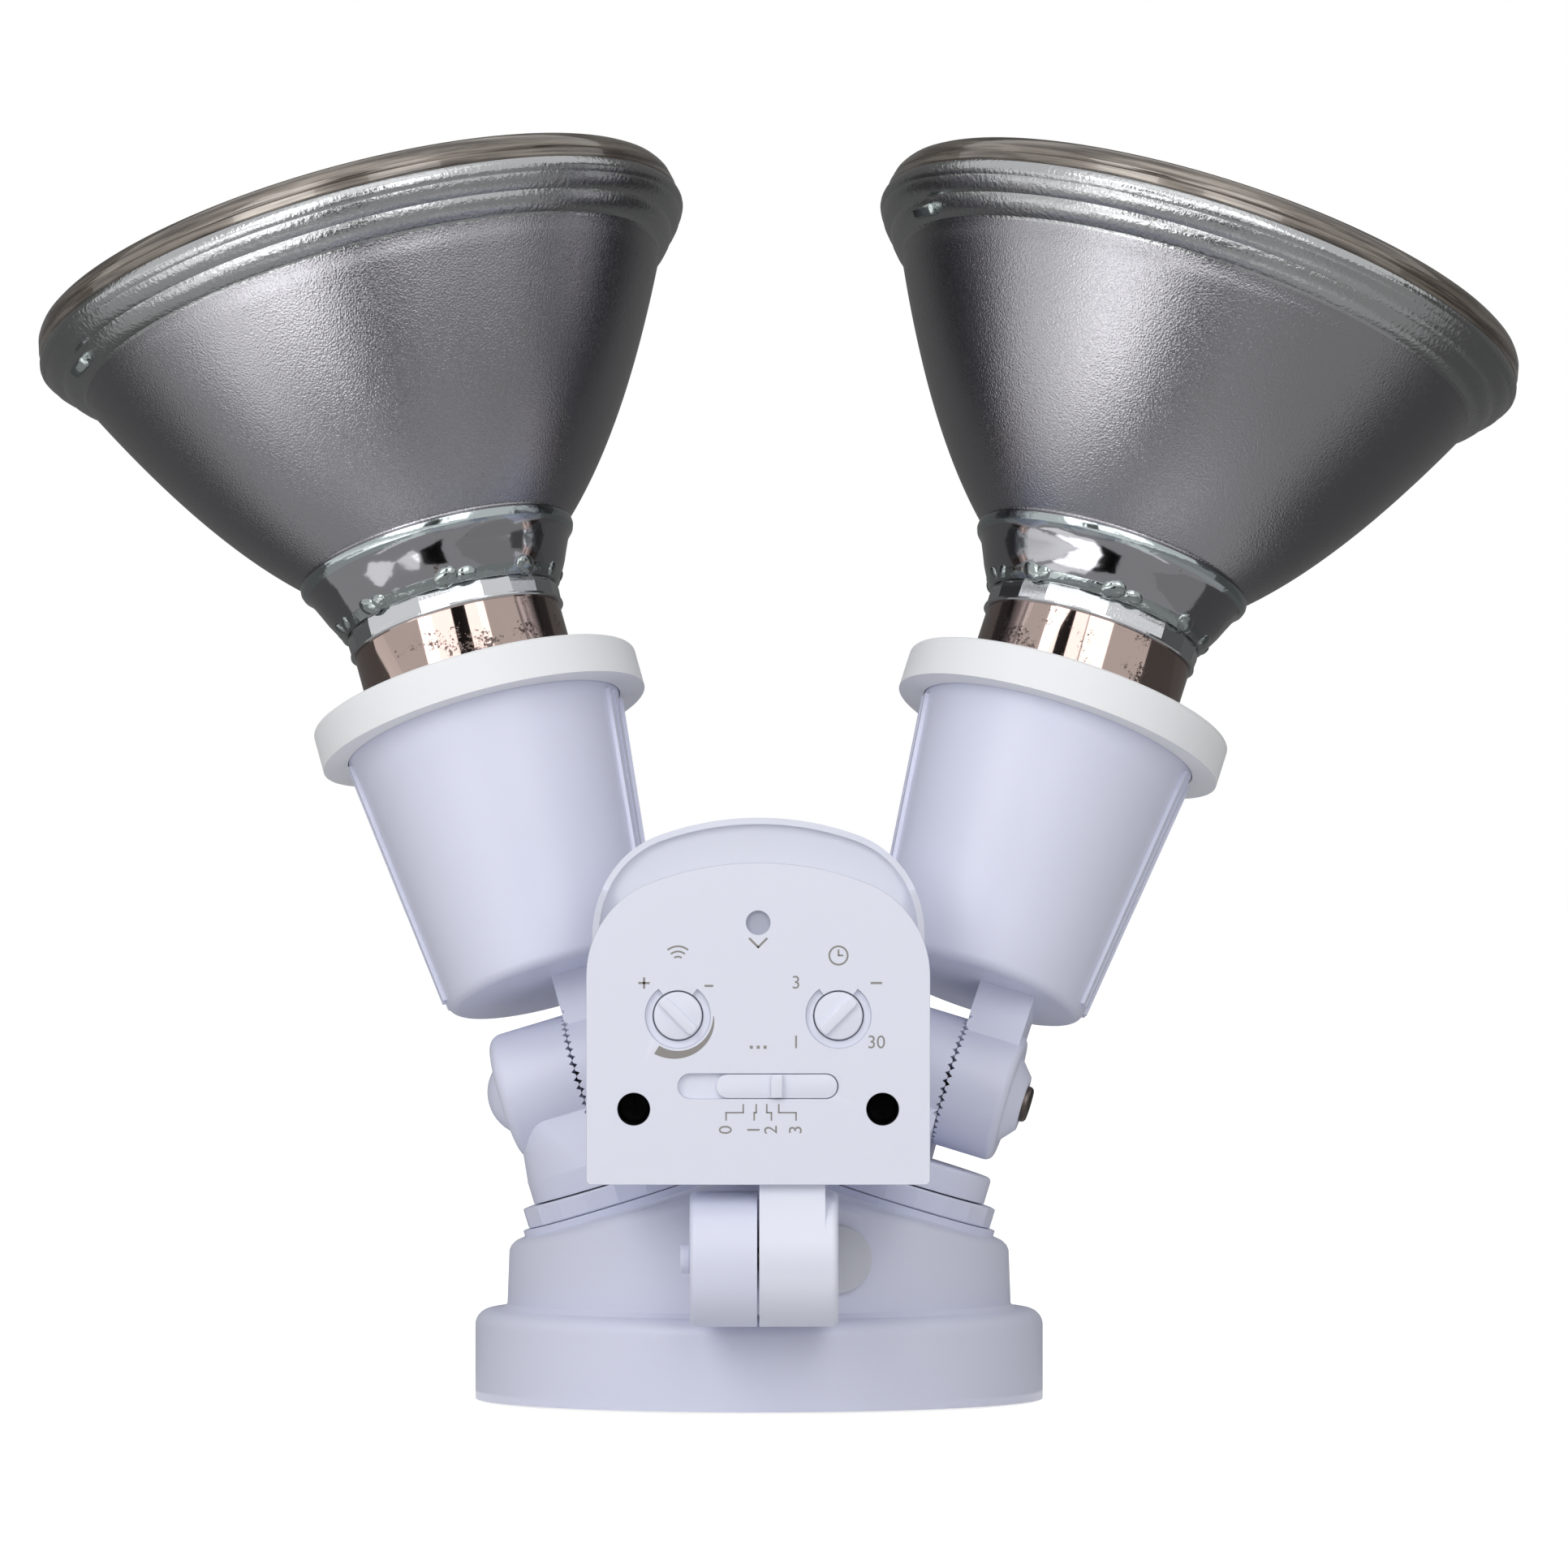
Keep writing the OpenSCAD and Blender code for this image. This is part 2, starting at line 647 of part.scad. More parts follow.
module bulb_reflector(side) color("silver") at_bulb(side) rotate_extrude() {
    edge = bulb_edge;
    foot = glass_foot;
    neck_out = skirt_in - slip;
    over = skirt_top + crimp_h - foot + slip;
    polygon(concat(
        [[neck_out - glass_t, foot], [neck_out, foot], [neck_out, foot + over], [skirt_r + 0.8, foot + over],
            [skirt_r + 3.1, foot + 7.5], [skirt_r + 4.9, foot + 11.6], [skirt_r + 5.5, foot + 12.4],
            [neck_r + 0.4, foot + 13.7]],
        bowl(0),
        [[cup_r + 1, edge - 11.7], [bulb_r - 3.4, edge - 10.2], [bulb_r - 1.6, edge - 8.6], [bulb_r - 0.3, edge - 6.6],
            [bulb_r, edge - 5.2], [bulb_r - 0.3, edge - lens_rim], [cup_r + 1, edge - lens_rim],
            [cup_r - glass_t, edge - 14]],
        [for (i = [15:-1:0]) bowl(glass_t)[i]],
        [[neck_r - 2.6, foot + 12.6], [neck_r - 4.8, foot + 8.4], [neck_out - glass_t, foot + over + 1.5]]));
}

module bulb_lens(side) color([0.8, 0.8, 0.75, 0.5]) at_bulb(side) rotate_extrude() {
    edge = bulb_edge;
    steps = 10;
    lens_wall = 3;
    edge_rise = 1.6;
    crown_r = bulb_r - 3;
    inner_r = cup_r - 0.5;
    drop = crown_h - edge_rise;
    polygon(concat(
        [for (i = [0:steps - 1]) [inner_r * i / steps, edge + crown_h - lens_wall - drop * pow(i / steps, 2)]],
        [[cup_r + 1, edge - lens_rim], [bulb_r - 0.5, edge - lens_rim], [bulb_r - 0.6, edge - 1.4], [bulb_r - 1, edge],
            [bulb_r - 1.8, edge + 1.1], [crown_r, edge + edge_rise]],
        [for (i = [steps - 1:-1:0]) [crown_r * i / steps, edge + crown_h - drop * pow(i / steps, 2)]]));
}

// A quartz capsule on a pinched foot, hollow round its filament
module capsule(side) color([0.9, 0.9, 0.95, 0.4]) at_bulb(side) translate([0, 0, capsule_foot])
    rotate_extrude() difference() {
        union() {
            square([4, 8]);
            translate([0, 8]) square([capsule_r, 18]);
            intersection() {
                translate([0, 26]) circle(capsule_r);
                square([far, far]);
            }
        }
        translate([-1, 9]) square([capsule_r, 17]);
    }

// The heat shield in the cap with the lead wires up to the capsule, and the filament in it
module filament(side) color("dimgray") at_bulb(side) {
    shield_t = 2;
    lead_x = 2;
    coil_z = capsule_foot + 18;
    for (x = [-lead_x, lead_x]) translate([x, 0, 0]) {
        translate([0, 0, shield_z + shield_t - eps]) cylinder(r = 0.5, h = capsule_foot - shield_z - shield_t + eps);
        translate([0, 0, capsule_foot + 9]) cylinder(r = 0.35, h = coil_z - capsule_foot - 9);
    }
    translate([-lead_x - 0.35, 0, coil_z]) rotate([0, 90, 0]) cylinder(r = 1, h = 2 * lead_x + 0.7);
    translate([0, 0, shield_z]) cylinder(r = skirt_in - slip, h = shield_t);
}

// Sensor hinge

module sensor_swivel() color("white") difference() {
    block_w = 10.5;
    block_h = 12;
    union() {
        translate([-drum_gap / 2, -hinge_y, hinge_z]) along_x(0) mirror([0, 0, 1])
            rounded_cylinder(drum_r, drum_left - drum_gap / 2, 1.2);
        along_y(0, boss_front, hinge_z) cylinder(r = flange_r, h = flange_t);
        translate([-block_w, 2 - hinge_y, hinge_z - block_h / 2])
            cube([block_w - drum_gap / 2, hinge_y - boss_front - 3, block_h]);
        along_y(0, hub_back - 6, hinge_z) cylinder(r = swivel_r, h = boss_front - hub_back + 7);
    }
    // Wire way through the stub
    along_y(0, hub_back - 7, hinge_z) cylinder(r = swivel_r - 3, h = boss_front - hub_back + 9);
    translate([-far / 2, -hinge_y, hinge_z]) along_x(0) cylinder(r = hinge_screw_r + run, h = far);
}

module stub_washer() color("silver") along_y(0, hub_back - washer_t, hinge_z) difference() {
    cylinder(r = boss_r - 1.2, h = washer_t);
    translate([0, 0, -1]) cylinder(r = swivel_r + slip, h = washer_t + 2);
}

module stub_nut() color("silver") along_y(0, hub_back - washer_t - stub_nut_h, hinge_z) difference() {
    cylinder(r = swivel_r + 3.3, h = stub_nut_h, $fn = 6);
    translate([0, 0, -1]) cylinder(r = swivel_r + run, h = stub_nut_h + 2);
}

module hinge_screw() color("white") translate([0, -hinge_y, hinge_z]) {
    along_x(-drum_left) cylinder(r = hinge_screw_r, h = drum_left + drum_right - 1.2);
    along_x(-drum_left) mirror([0, 0, 1]) rounded_cylinder(hinge_screw_r + 0.6, 1.7, 0.4);
}

module hinge_nut() color("silver") translate([drum_right - hinge_pocket, -hinge_y, hinge_z]) along_x(0)
    difference() {
        nut_h = 2.4;
        cylinder(r = hinge_nut_w / 2, h = nut_h, $fn = 6);
        translate([0, 0, -1]) cylinder(r = hinge_screw_r + run, h = nut_h + 2);
    }

// Sensor head

// Outline with straight sides and a round top, drawn in X and Z
module d_outline(half, z0, z1, inset) {
    w = half - inset;
    top = z1 - inset;
    arc = top_arc - inset;
    corner = side_arc - inset;
    arc_z = top - arc;
    corner_z = arc_z + sqrt(pow(arc - corner, 2) - pow(w - corner, 2));
    translate([-w, z0 + foot_round]) square([2 * w, corner_z - z0 - foot_round]);
    translate([foot_round - w, z0]) square([2 * (w - foot_round), 4]);
    for (side = [-1, 1]) {
        translate([side * (w - corner), corner_z]) circle(corner);
        translate([side * (w - foot_round), z0 + foot_round]) circle(foot_round, $fn = 48);
    }
    intersection() {
        translate([0, arc_z]) circle(arc, $fn = 160);
        polygon([[0, arc_z], [-3 * (w - corner), arc_z + 3 * (corner_z - arc_z)],
            [3 * (w - corner), arc_z + 3 * (corner_z - arc_z)]]);
    }
    polygon([[0, arc_z], [corner - w, corner_z], [w - corner, corner_z]]);
}

// Cuts the head to its side view; the points are distance in front of the axis and height
module side_view(points) {
    rotate([90, 0, 90]) translate([0, 0, -far / 2]) linear_extrude(far)
        polygon([for (p = points) [-p[0], p[1]]]);
}

module housing_form() intersection() {
    slab(hood_back, panel_back) d_outline(hood_half, floor_z, hood_z1, 0);
    side_view([[panel_back, floor_z], [panel_back - flat_floor, floor_z], [hood_back, floor_z + floor_rise],
        [hood_back, far], [visor_front, far], [visor_front, panel_z1 - 5], [panel_back, panel_z1 - 18]]);
}

module sensor_housing() color("white") difference() {
    neck_x = 11.7;
    union() {
        difference() {
            housing_form();
            intersection() {
                slab(hood_in, panel_y) d_outline(hood_half, floor_z - 5, hood_z1, shell);
                side_view([[panel_y, floor_z + shell], [panel_back - flat_floor + 0.5, floor_z + shell],
                    [hood_in, floor_z + floor_rise + shell], [hood_in, far], [panel_y, far]]);
            }
        }
        // Posts for the panel's screws
        intersection() {
            housing_form();
            for (side = [-1, 1]) along_y(side * screw_x, hood_back, screw_z)
                cylinder(r = post_r, h = board_back - hood_back);
        }
        translate([drum_gap / 2, -hinge_y, hinge_z]) along_x(0)
            rounded_cylinder(drum_r, drum_right - drum_gap / 2, 1.2);
        // Neck that meets the drum in a smooth line
        hull() {
            translate([drum_gap / 2, -panel_back, panel_z0 - 0.8])
                cube([neck_x - drum_gap / 2, panel_back - hinge_y + 8, 0.6]);
            translate([drum_gap / 2, -hinge_y, hinge_z]) along_x(0) cylinder(r = drum_r, h = neck_x - drum_gap / 2);
        }
        translate([drum_gap / 2, -panel_back, panel_z0 - 0.4])
            cube([neck_x - drum_gap / 2, panel_back - hinge_y + 8, floor_z - panel_z0 + 0.9]);
    }
    // The hood's thin lip
    intersection() {
        slab(hood_in, panel_y) d_outline(hood_half, floor_z, hood_z1, visor_edge);
        translate([-far / 2, -far / 2, lens_foot]) cube([far, far, far]);
    }
    for (side = [-1, 1]) along_y(side * screw_x, hood_back + 4, screw_z) cylinder(r = panel_screw_r, h = far);
    translate([-1, -hinge_y, hinge_z]) along_x(0) cylinder(r = hinge_screw_r + slip, h = far);
    translate([drum_right - hinge_pocket, -hinge_y, hinge_z]) along_x(0)
        cylinder(r = hinge_nut_w / 2 + slip, h = far, $fn = 6);
}

module slot_outline(length, height, x0) {
    r = height / 2;
    translate([x0 + r, slot_z - r]) square([length - height, height]);
    for (x = [x0 + r, x0 + length - r]) translate([x, slot_z]) circle(r, $fn = 48);
}

module sensor_panel() color("white") difference() {
    union() {
        slab(panel_back, panel_y) d_outline(panel_half, panel_z0, panel_z1, 0);
        // Lip that centres the panel in the housing
        slab(panel_back - panel_lip, panel_back + eps) difference() {
            lip_half = hood_half - shell - 0.2;
            translate([-lip_half, floor_z + shell + 0.2]) square([2 * lip_half, panel_lip_h]);
            translate([panel_lip_t - lip_half, floor_z + shell + 0.2 + panel_lip_t])
                square([2 * (lip_half - panel_lip_t), panel_lip_h]);
        }
        for (side = [-1, 1]) along_y(side * screw_x, tube_end, screw_z)
            cylinder(r = screw_hole_r + 1.25, h = panel_back - tube_end + 1);
    }
    // The shallow field fades out towards the slot
    intersection() {
        translate([0, -panel_y, slot_z - 9]) rotate([1.1, 0, 0]) translate([-far / 2, -3, 0]) cube([far, 3, far]);
        slab(panel_y - 3, panel_y + 1) d_outline(panel_half - 6.8, slot_z - 10, panel_z1 - 6, 0);
    }
    for (side = [-1, 1]) {
        along_y(side * screw_x, tube_end + tube_floor, screw_z) cylinder(r = screw_hole_r, h = far);
        along_y(side * screw_x, tube_end - 1, screw_z) cylinder(r = panel_screw_r + slip, h = far);
        along_y(side * knob_x, panel_back - 1, knob_z) cylinder(r = knob_r + knob_gap, h = far);
        knob_recess(side * knob_x);
    }
    slab(panel_y - slot_depth, panel_y + 1) slot_outline(slot_length, slot_h, -slot_length / 2);
    slab(panel_back - 3, panel_y + 1) lever_slot();
    along_y(0, panel_back - 1, window_z) cylinder(r = window_r, h = far);
}

// The shallow ring round a knob, left out over the knob between two notches
module knob_recess(x) slab(panel_y - 0.9, panel_y + 1) translate([x, knob_z]) {
    stop = 36;
    difference() {
        circle(knob_r + 1.5);
        polygon([[0, 0], 2 * knob_r * [-sin(stop), cos(stop)], [0, 3 * knob_r], 2 * knob_r * [sin(stop), cos(stop)]]);
    }
}

// The opening that the slider's lever runs in
module lever_slot() {
    translate([lever_x - slider_travel - 1.2, slot_z - 1.1]) square([slide_cut, 2.2]);
}

module indicator_window() color("lightsteelblue") {
    along_y(0, panel_back, window_z) cylinder(r = window_r, h = 1.5);
    along_y(0, tube_end, window_z) cylinder(r = window_r - 0.6, h = panel_back - tube_end);
}

module panel_screws() color("black") for (side = [-1, 1]) translate([side * screw_x, 0, 0]) {
    head_r = screw_hole_r - 0.15;
    head_h = 1.8;
    head_y = tube_end + tube_floor;
    shank_l = 19.5;
    cross_l = 3.4;
    cross_w = 0.7;
    along_y(0, head_y - shank_l, screw_z) cylinder(r = panel_screw_r, h = shank_l + head_h / 4);
    difference() {
        along_y(0, head_y, screw_z) rounded_cylinder(head_r, head_h, 0.8);
        for (turn = [0, 90]) along_y(0, head_y + 0.9, screw_z) rotate([0, 0, turn])
            translate([-cross_l / 2, -cross_w / 2, 0]) cube([cross_l, cross_w, head_h]);
    }
}

module fresnel_lens() color([0.95, 0.95, 0.95, 0.8]) intersection() {
    slab(hood_in, panel_back) difference() {
        d_outline(panel_half, panel_z0, panel_z1, lens_inset);
        d_outline(panel_half, panel_z0 - 2 * lens_t, panel_z1, lens_inset + lens_t);
    }
    translate([-far / 2, -far / 2, lens_foot]) cube([far, far, far]);
}

module sensor_board() color("darkgreen") slab(board_back, tube_end) difference() {
    foot_half = screw_x + 3.3;
    foot_h = 8;
    body_half = knob_x + 4;
    body_h = 12;
    top_half = 4;
    shoulder = knob_z - 2.3;
    union() {
        translate([-foot_half, screw_z - foot_h]) square([2 * foot_half, 2 * foot_h]);
        translate([-body_half, screw_z - foot_h]) square([2 * body_half, shoulder + body_h - screw_z + foot_h]);
        polygon([[-foot_half, screw_z + foot_h], [foot_half, screw_z + foot_h], [body_half, shoulder],
            [-body_half, shoulder]]);
        polygon([[-body_half, shoulder + body_h], [body_half, shoulder + body_h], [top_half, window_z + 3.5],
            [-top_half, window_z + 3.5]]);
    }
    for (side = [-1, 1]) translate([side * screw_x, screw_z]) circle(panel_screw_r + slip);
}

// A small board that stands off the back of the main board and carries the detector
module detector_board() color("darkgreen")
    translate([-detector_w / 2, -board_back, detector_z]) cube([detector_w, 18, detector_t]);

module pir_detector() color("silver") translate([0, 9 - board_back, detector_z + detector_t]) {
    cylinder(r = 4.9, h = 0.5);
    cylinder(r = 4.5, h = 4.3);
}

module relay() color("black") {
    relay_h = 14.4;
    relay_d = 15;
    translate([post_r + 1.5 - screw_x, -board_back, detector_z - slip - relay_h])
        cube([relay_right + screw_x - post_r - 1.5, relay_d, relay_h]);
}

module capacitor() color("navy") {
    can_r = 5;
    can_h = 14.5;
    along_y(relay_right + can_r + 2, board_back - can_h, detector_z - can_r - 4.6) rounded_cylinder(can_r, can_h, 0.6);
}

module trimmers() color("royalblue") for (side = [-1, 1]) difference() {
    w = 9.6;
    translate([side * knob_x - w / 2, -tube_end - 5, knob_z - w / 2]) cube([w, 5, w]);
    along_y(side * knob_x, tube_end + 1, knob_z) cylinder(r = shaft_r + run, h = far);
}

module mode_switch() color("silver") difference() {
    w = slider_travel + 12;
    translate([lever_x - slider_travel / 2 - w / 2, -tube_end - 5.5, slot_z - 3]) cube([w, 5.5, 6]);
    slab(tube_end + 2, tube_end + far) lever_slot();
}

// A knob on its shaft, with a flange behind the panel and a pointer bar across its face
module knob(x, turn) color("white") {
    bar_w = 1.3;
    bar_l = 2 * knob_r - 0.3;
    along_y(x, panel_y - 3, knob_z) cylinder(r = knob_r, h = 3.1);
    along_y(x, panel_back - 1.5, knob_z) cylinder(r = knob_r + knob_flange, h = 1.3);
    along_y(x, tube_end + 2, knob_z) cylinder(r = shaft_r, h = panel_y - tube_end - 3);
    along_y(x, panel_y, knob_z) rotate([0, 0, turn]) translate([-bar_w / 2, -bar_l / 2, 0])
        cube([bar_w, bar_l, 0.95]);
}

module sens_knob() knob(-knob_x, 45);

module time_knob() knob(knob_x, -45);

// A plate in the slot with a ridge to push, and a lever that reaches into the switch
module mode_slider() color("white") {
    plate_h = slot_h - 0.2;
    ridge_w = 2;
    lever_w = 1.8;
    slab(panel_y - slot_depth + run, panel_y - 0.25)
        slot_outline(slider_length, plate_h, slider_x - slider_length);
    translate([lever_x - ridge_w / 2, -panel_y - 1, slot_z - plate_h / 2]) cube([ridge_w, 1.3, plate_h]);
    translate([lever_x - lever_w / 2, 0.5 - panel_y, slot_z - lever_w / 2])
        cube([lever_w, panel_y - tube_end - 3.5, lever_w]);
}

base_cover();
wall_gasket();
crossbar();
cover_screw();
ground_screw();
base_plug();
locknut(-1);  // locknut_left
locknut(1);  // locknut_right
arm_seal(-1);  // arm_seal_left
arm_seal(1);  // arm_seal_right
arm(-1);  // arm_left
arm(1);  // arm_right
pivot_bolt(-1);  // pivot_bolt_left
pivot_bolt(1);  // pivot_bolt_right
pivot_nut(-1);  // pivot_nut_left
pivot_nut(1);  // pivot_nut_right
holder(-1);  // holder_left
holder(1);  // holder_right
gasket(-1);  // gasket_left
gasket(1);  // gasket_right
socket(-1);  // socket_left
socket(1);  // socket_right
screw_shell(-1);  // screw_shell_left
screw_shell(1);  // screw_shell_right
centre_contact(-1);  // centre_contact_left
centre_contact(1);  // centre_contact_right
bulb_cap(-1);  // bulb_cap_left
bulb_cap(1);  // bulb_cap_right
bulb_tip(-1);  // bulb_tip_left
bulb_tip(1);  // bulb_tip_right
bulb_reflector(-1);  // bulb_reflector_left
bulb_reflector(1);  // bulb_reflector_right
bulb_lens(-1);  // bulb_lens_left
bulb_lens(1);  // bulb_lens_right
capsule(-1);  // capsule_left
capsule(1);  // capsule_right
filament(-1);  // filament_left
filament(1);  // filament_right
sensor_swivel();
stub_nut();
stub_washer();
hinge_screw();
hinge_nut();
sensor_housing();
sensor_panel();
fresnel_lens();
panel_screws();
indicator_window();
sensor_board();
detector_board();
pir_detector();
relay();
capacitor();
trimmers();
mode_switch();
sens_knob();
time_knob();
mode_slider();
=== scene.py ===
import json
import math
import random

import bmesh
import bpy
from bpy.props import FloatProperty, FloatVectorProperty, IntProperty, PointerProperty
from bpy.types import Operator, Panel, PropertyGroup
from mathutils import Matrix, Vector
from mathutils.bvhtree import BVHTree

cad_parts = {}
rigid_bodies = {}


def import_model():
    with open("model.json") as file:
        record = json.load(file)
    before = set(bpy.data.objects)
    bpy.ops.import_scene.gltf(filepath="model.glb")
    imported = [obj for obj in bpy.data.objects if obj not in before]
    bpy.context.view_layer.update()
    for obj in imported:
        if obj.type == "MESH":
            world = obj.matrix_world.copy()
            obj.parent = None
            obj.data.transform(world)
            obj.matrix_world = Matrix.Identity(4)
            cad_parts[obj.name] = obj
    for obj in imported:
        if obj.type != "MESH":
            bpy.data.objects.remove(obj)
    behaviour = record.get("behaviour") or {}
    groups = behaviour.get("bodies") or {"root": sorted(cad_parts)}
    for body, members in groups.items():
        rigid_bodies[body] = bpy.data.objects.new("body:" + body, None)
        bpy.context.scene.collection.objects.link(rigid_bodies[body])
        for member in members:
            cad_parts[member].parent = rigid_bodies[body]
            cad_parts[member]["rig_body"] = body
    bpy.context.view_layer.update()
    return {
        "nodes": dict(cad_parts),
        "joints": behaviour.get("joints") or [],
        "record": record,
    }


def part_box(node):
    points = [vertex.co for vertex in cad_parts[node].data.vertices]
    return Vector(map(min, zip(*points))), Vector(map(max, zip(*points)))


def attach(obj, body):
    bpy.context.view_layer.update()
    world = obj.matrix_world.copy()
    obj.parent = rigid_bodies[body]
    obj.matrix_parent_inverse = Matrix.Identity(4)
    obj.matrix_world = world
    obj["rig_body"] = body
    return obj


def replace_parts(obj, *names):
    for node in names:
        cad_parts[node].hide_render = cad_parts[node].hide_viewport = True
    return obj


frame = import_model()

bl_info = {
    "name": "Security Light Dresser",
    "version": (1, 0, 0),
    "blender": (4, 5, 0),
    "location": "3D View > Sidebar > Security Light",
    "description": "Finishes the security light's packed parts and adds its bulbs, legend and studio",
    "category": "Object",
}

MM = 0.001
SIDES = ("left", "right")

# Steps in a turned solid's full turn
ROUND = 144

# The lamps' backward lean in degrees, and the bulbs' shift along the tilt axis in millimetres
LAMP_BACKWARD_LEAN = 13.0
LAMP_SHIFT = 0.9

# Distances along each lamp's axis from its knuckle, in millimetres
SKIRT_TOP = 85.9
CRIMP_TOP = 90.1
BOWL_FOOT = 101.6
BOWL_TOP = 144.0
FLANGE_FOOT = 145.0
SEAM = 154.9
RIM_EDGE = 158.5


# Places

def joint(name):
    return next(j for j in frame["joints"] if j["name"] == name)


def lamp_frame(side):
    """The lamp's own frame: its knuckle at the origin, its tilt axis along X and its bulb along Z."""
    swivel = joint(f"arm_{side}_swivel")
    up = Vector(swivel["axis"]) * math.copysign(1.0, swivel["axis"][2])
    across = -Vector(joint(f"lamp_{side}_tilt")["axis"])
    turn = Matrix((across, up.cross(across), up)).transposed().to_4x4()
    lean = Matrix.Rotation(math.radians(-LAMP_BACKWARD_LEAN), 4, "X")
    return Matrix.Translation(swivel["pos_m"]) @ turn @ lean


def bulb_frame(side):
    """The lamp's frame moved onto the bulb's axis, in millimetres."""
    return lamp_frame(side) @ Matrix.Translation((LAMP_SHIFT * MM, 0, 0)) @ Matrix.Scale(MM, 4)


# Meshes

def finish_piece(name, bm, body, material, place=Matrix(), smooth=35.0):
    """Makes a piece of a bmesh, with its place in its vertices, and lets it ride on a body."""
    bmesh.ops.transform(bm, matrix=place, verts=bm.verts)
    bmesh.ops.remove_doubles(bm, verts=bm.verts, dist=1e-7)
    bmesh.ops.recalc_face_normals(bm, faces=bm.faces)
    mesh = bpy.data.meshes.new(name)
    bm.to_mesh(mesh)
    bm.free()
    mesh.shade_smooth()
    mesh.set_sharp_from_angle(angle=math.radians(smooth))
    for each in material if isinstance(material, list) else [material]:
        mesh.materials.append(each)
    piece = bpy.data.objects.new(name, mesh)
    bpy.context.scene.collection.objects.link(piece)
    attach(piece, body)
    return piece


def spin_profile(points, steps=ROUND, start=0.0, closed=True):
    """A turned solid: the profile's points are (radius, height), and the axis is Z."""
    bm = bmesh.new()
    verts = [bm.verts.new((r * math.cos(start), r * math.sin(start), z)) for r, z in points]
    edges = [bm.edges.new(pair) for pair in zip(verts, verts[1:])]
    if closed:
        edges.append(bm.edges.new((verts[-1], verts[0])))
    bmesh.ops.spin(bm, geom=verts + edges, cent=(0, 0, 0), axis=(0, 0, 1), dvec=(0, 0, 0),
                   angle=math.tau, steps=steps, use_merge=True, use_duplicate=False)
    bmesh.ops.remove_doubles(bm, verts=bm.verts, dist=1e-4)
    bmesh.ops.recalc_face_normals(bm, faces=bm.faces)
    return bm


def round_edges(bm, width, segments):
    """Rounds every edge that is sharper than the limit."""
    limit = math.radians(40)
    sharp = [e for e in bm.edges if e.is_manifold and e.calc_face_angle(0) > limit]
    bmesh.ops.bevel(bm, geom=sharp, offset=width, offset_type="OFFSET", segments=segments, profile=0.5,
                    affect="EDGES", clamp_overlap=True, material=-1)


def paint_bands(bm, heights):
    """Gives each face the material of the band that its middle's height falls in."""
    for face in bm.faces:
        face.material_index = sum(face.calc_center_median().z > height for height in heights)


def add_block(bm, size, place, width, segments=3, ends=0.0):
    """Adds a block with rounded edges; its upright edges may be rounded more."""
    block = bmesh.new()
    bmesh.ops.create_cube(block, size=1.0, matrix=Matrix.Diagonal((*size, 1.0)))
    if ends:
        upright = [e for e in block.edges
                   if abs((e.verts[0].co - e.verts[1].co).normalized().z) > 0.9]
        bmesh.ops.bevel(block, geom=upright, offset=ends, offset_type="OFFSET", segments=10,
                        profile=0.5, affect="EDGES", clamp_overlap=True, material=-1)
    round_edges(block, width, segments)
    bmesh.ops.transform(block, matrix=place, verts=block.verts)
    add_mesh(bm, block)


def add_mesh(bm, other):
    """Moves another bmesh into this one."""
    mesh = bpy.data.meshes.new("part")
    other.to_mesh(mesh)
    other.free()
    bm.from_mesh(mesh)
    bpy.data.meshes.remove(mesh)


def node_copy(node):
    """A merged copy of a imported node's mesh, with its flat faces joined."""
    bm = bmesh.new()
    bm.from_mesh(frame["nodes"][node].data)
    bmesh.ops.remove_doubles(bm, verts=bm.verts, dist=1e-6)
    bmesh.ops.dissolve_limit(bm, angle_limit=math.radians(0.4), use_dissolve_boundaries=False,
                             verts=bm.verts, edges=bm.edges)
    return bm


def body_of(node):
    return frame["nodes"][node]["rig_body"]


def slot_of(node):
    return next(s["material_slot"] for s in frame["record"]["subparts"] if s["node"] == node)


# Materials

def add_node(tree, kind, **values):
    """A shader node with its settings and inputs; an input's spaces are written as underscores."""
    node = tree.nodes.new("ShaderNode" + kind)
    for name, value in values.items():
        if hasattr(node, name):
            setattr(node, name, value)
        else:
            node.inputs[name.replace("_", " ")].default_value = value
    return node


def effect_group(name, inputs, outputs):
    """An empty node group: number or colour inputs with their defaults, and named outputs."""
    group = bpy.data.node_groups.new(name, "ShaderNodeTree")
    for label, default in inputs.items():
        kind = "NodeSocketColor" if isinstance(default, tuple) else "NodeSocketFloat"
        group.interface.new_socket(label, in_out="INPUT", socket_type=kind).default_value = default
    for label, kind in outputs.items():
        group.interface.new_socket(label, in_out="OUTPUT", socket_type=kind)
    return group, group.nodes.new("NodeGroupInput"), group.nodes.new("NodeGroupOutput")


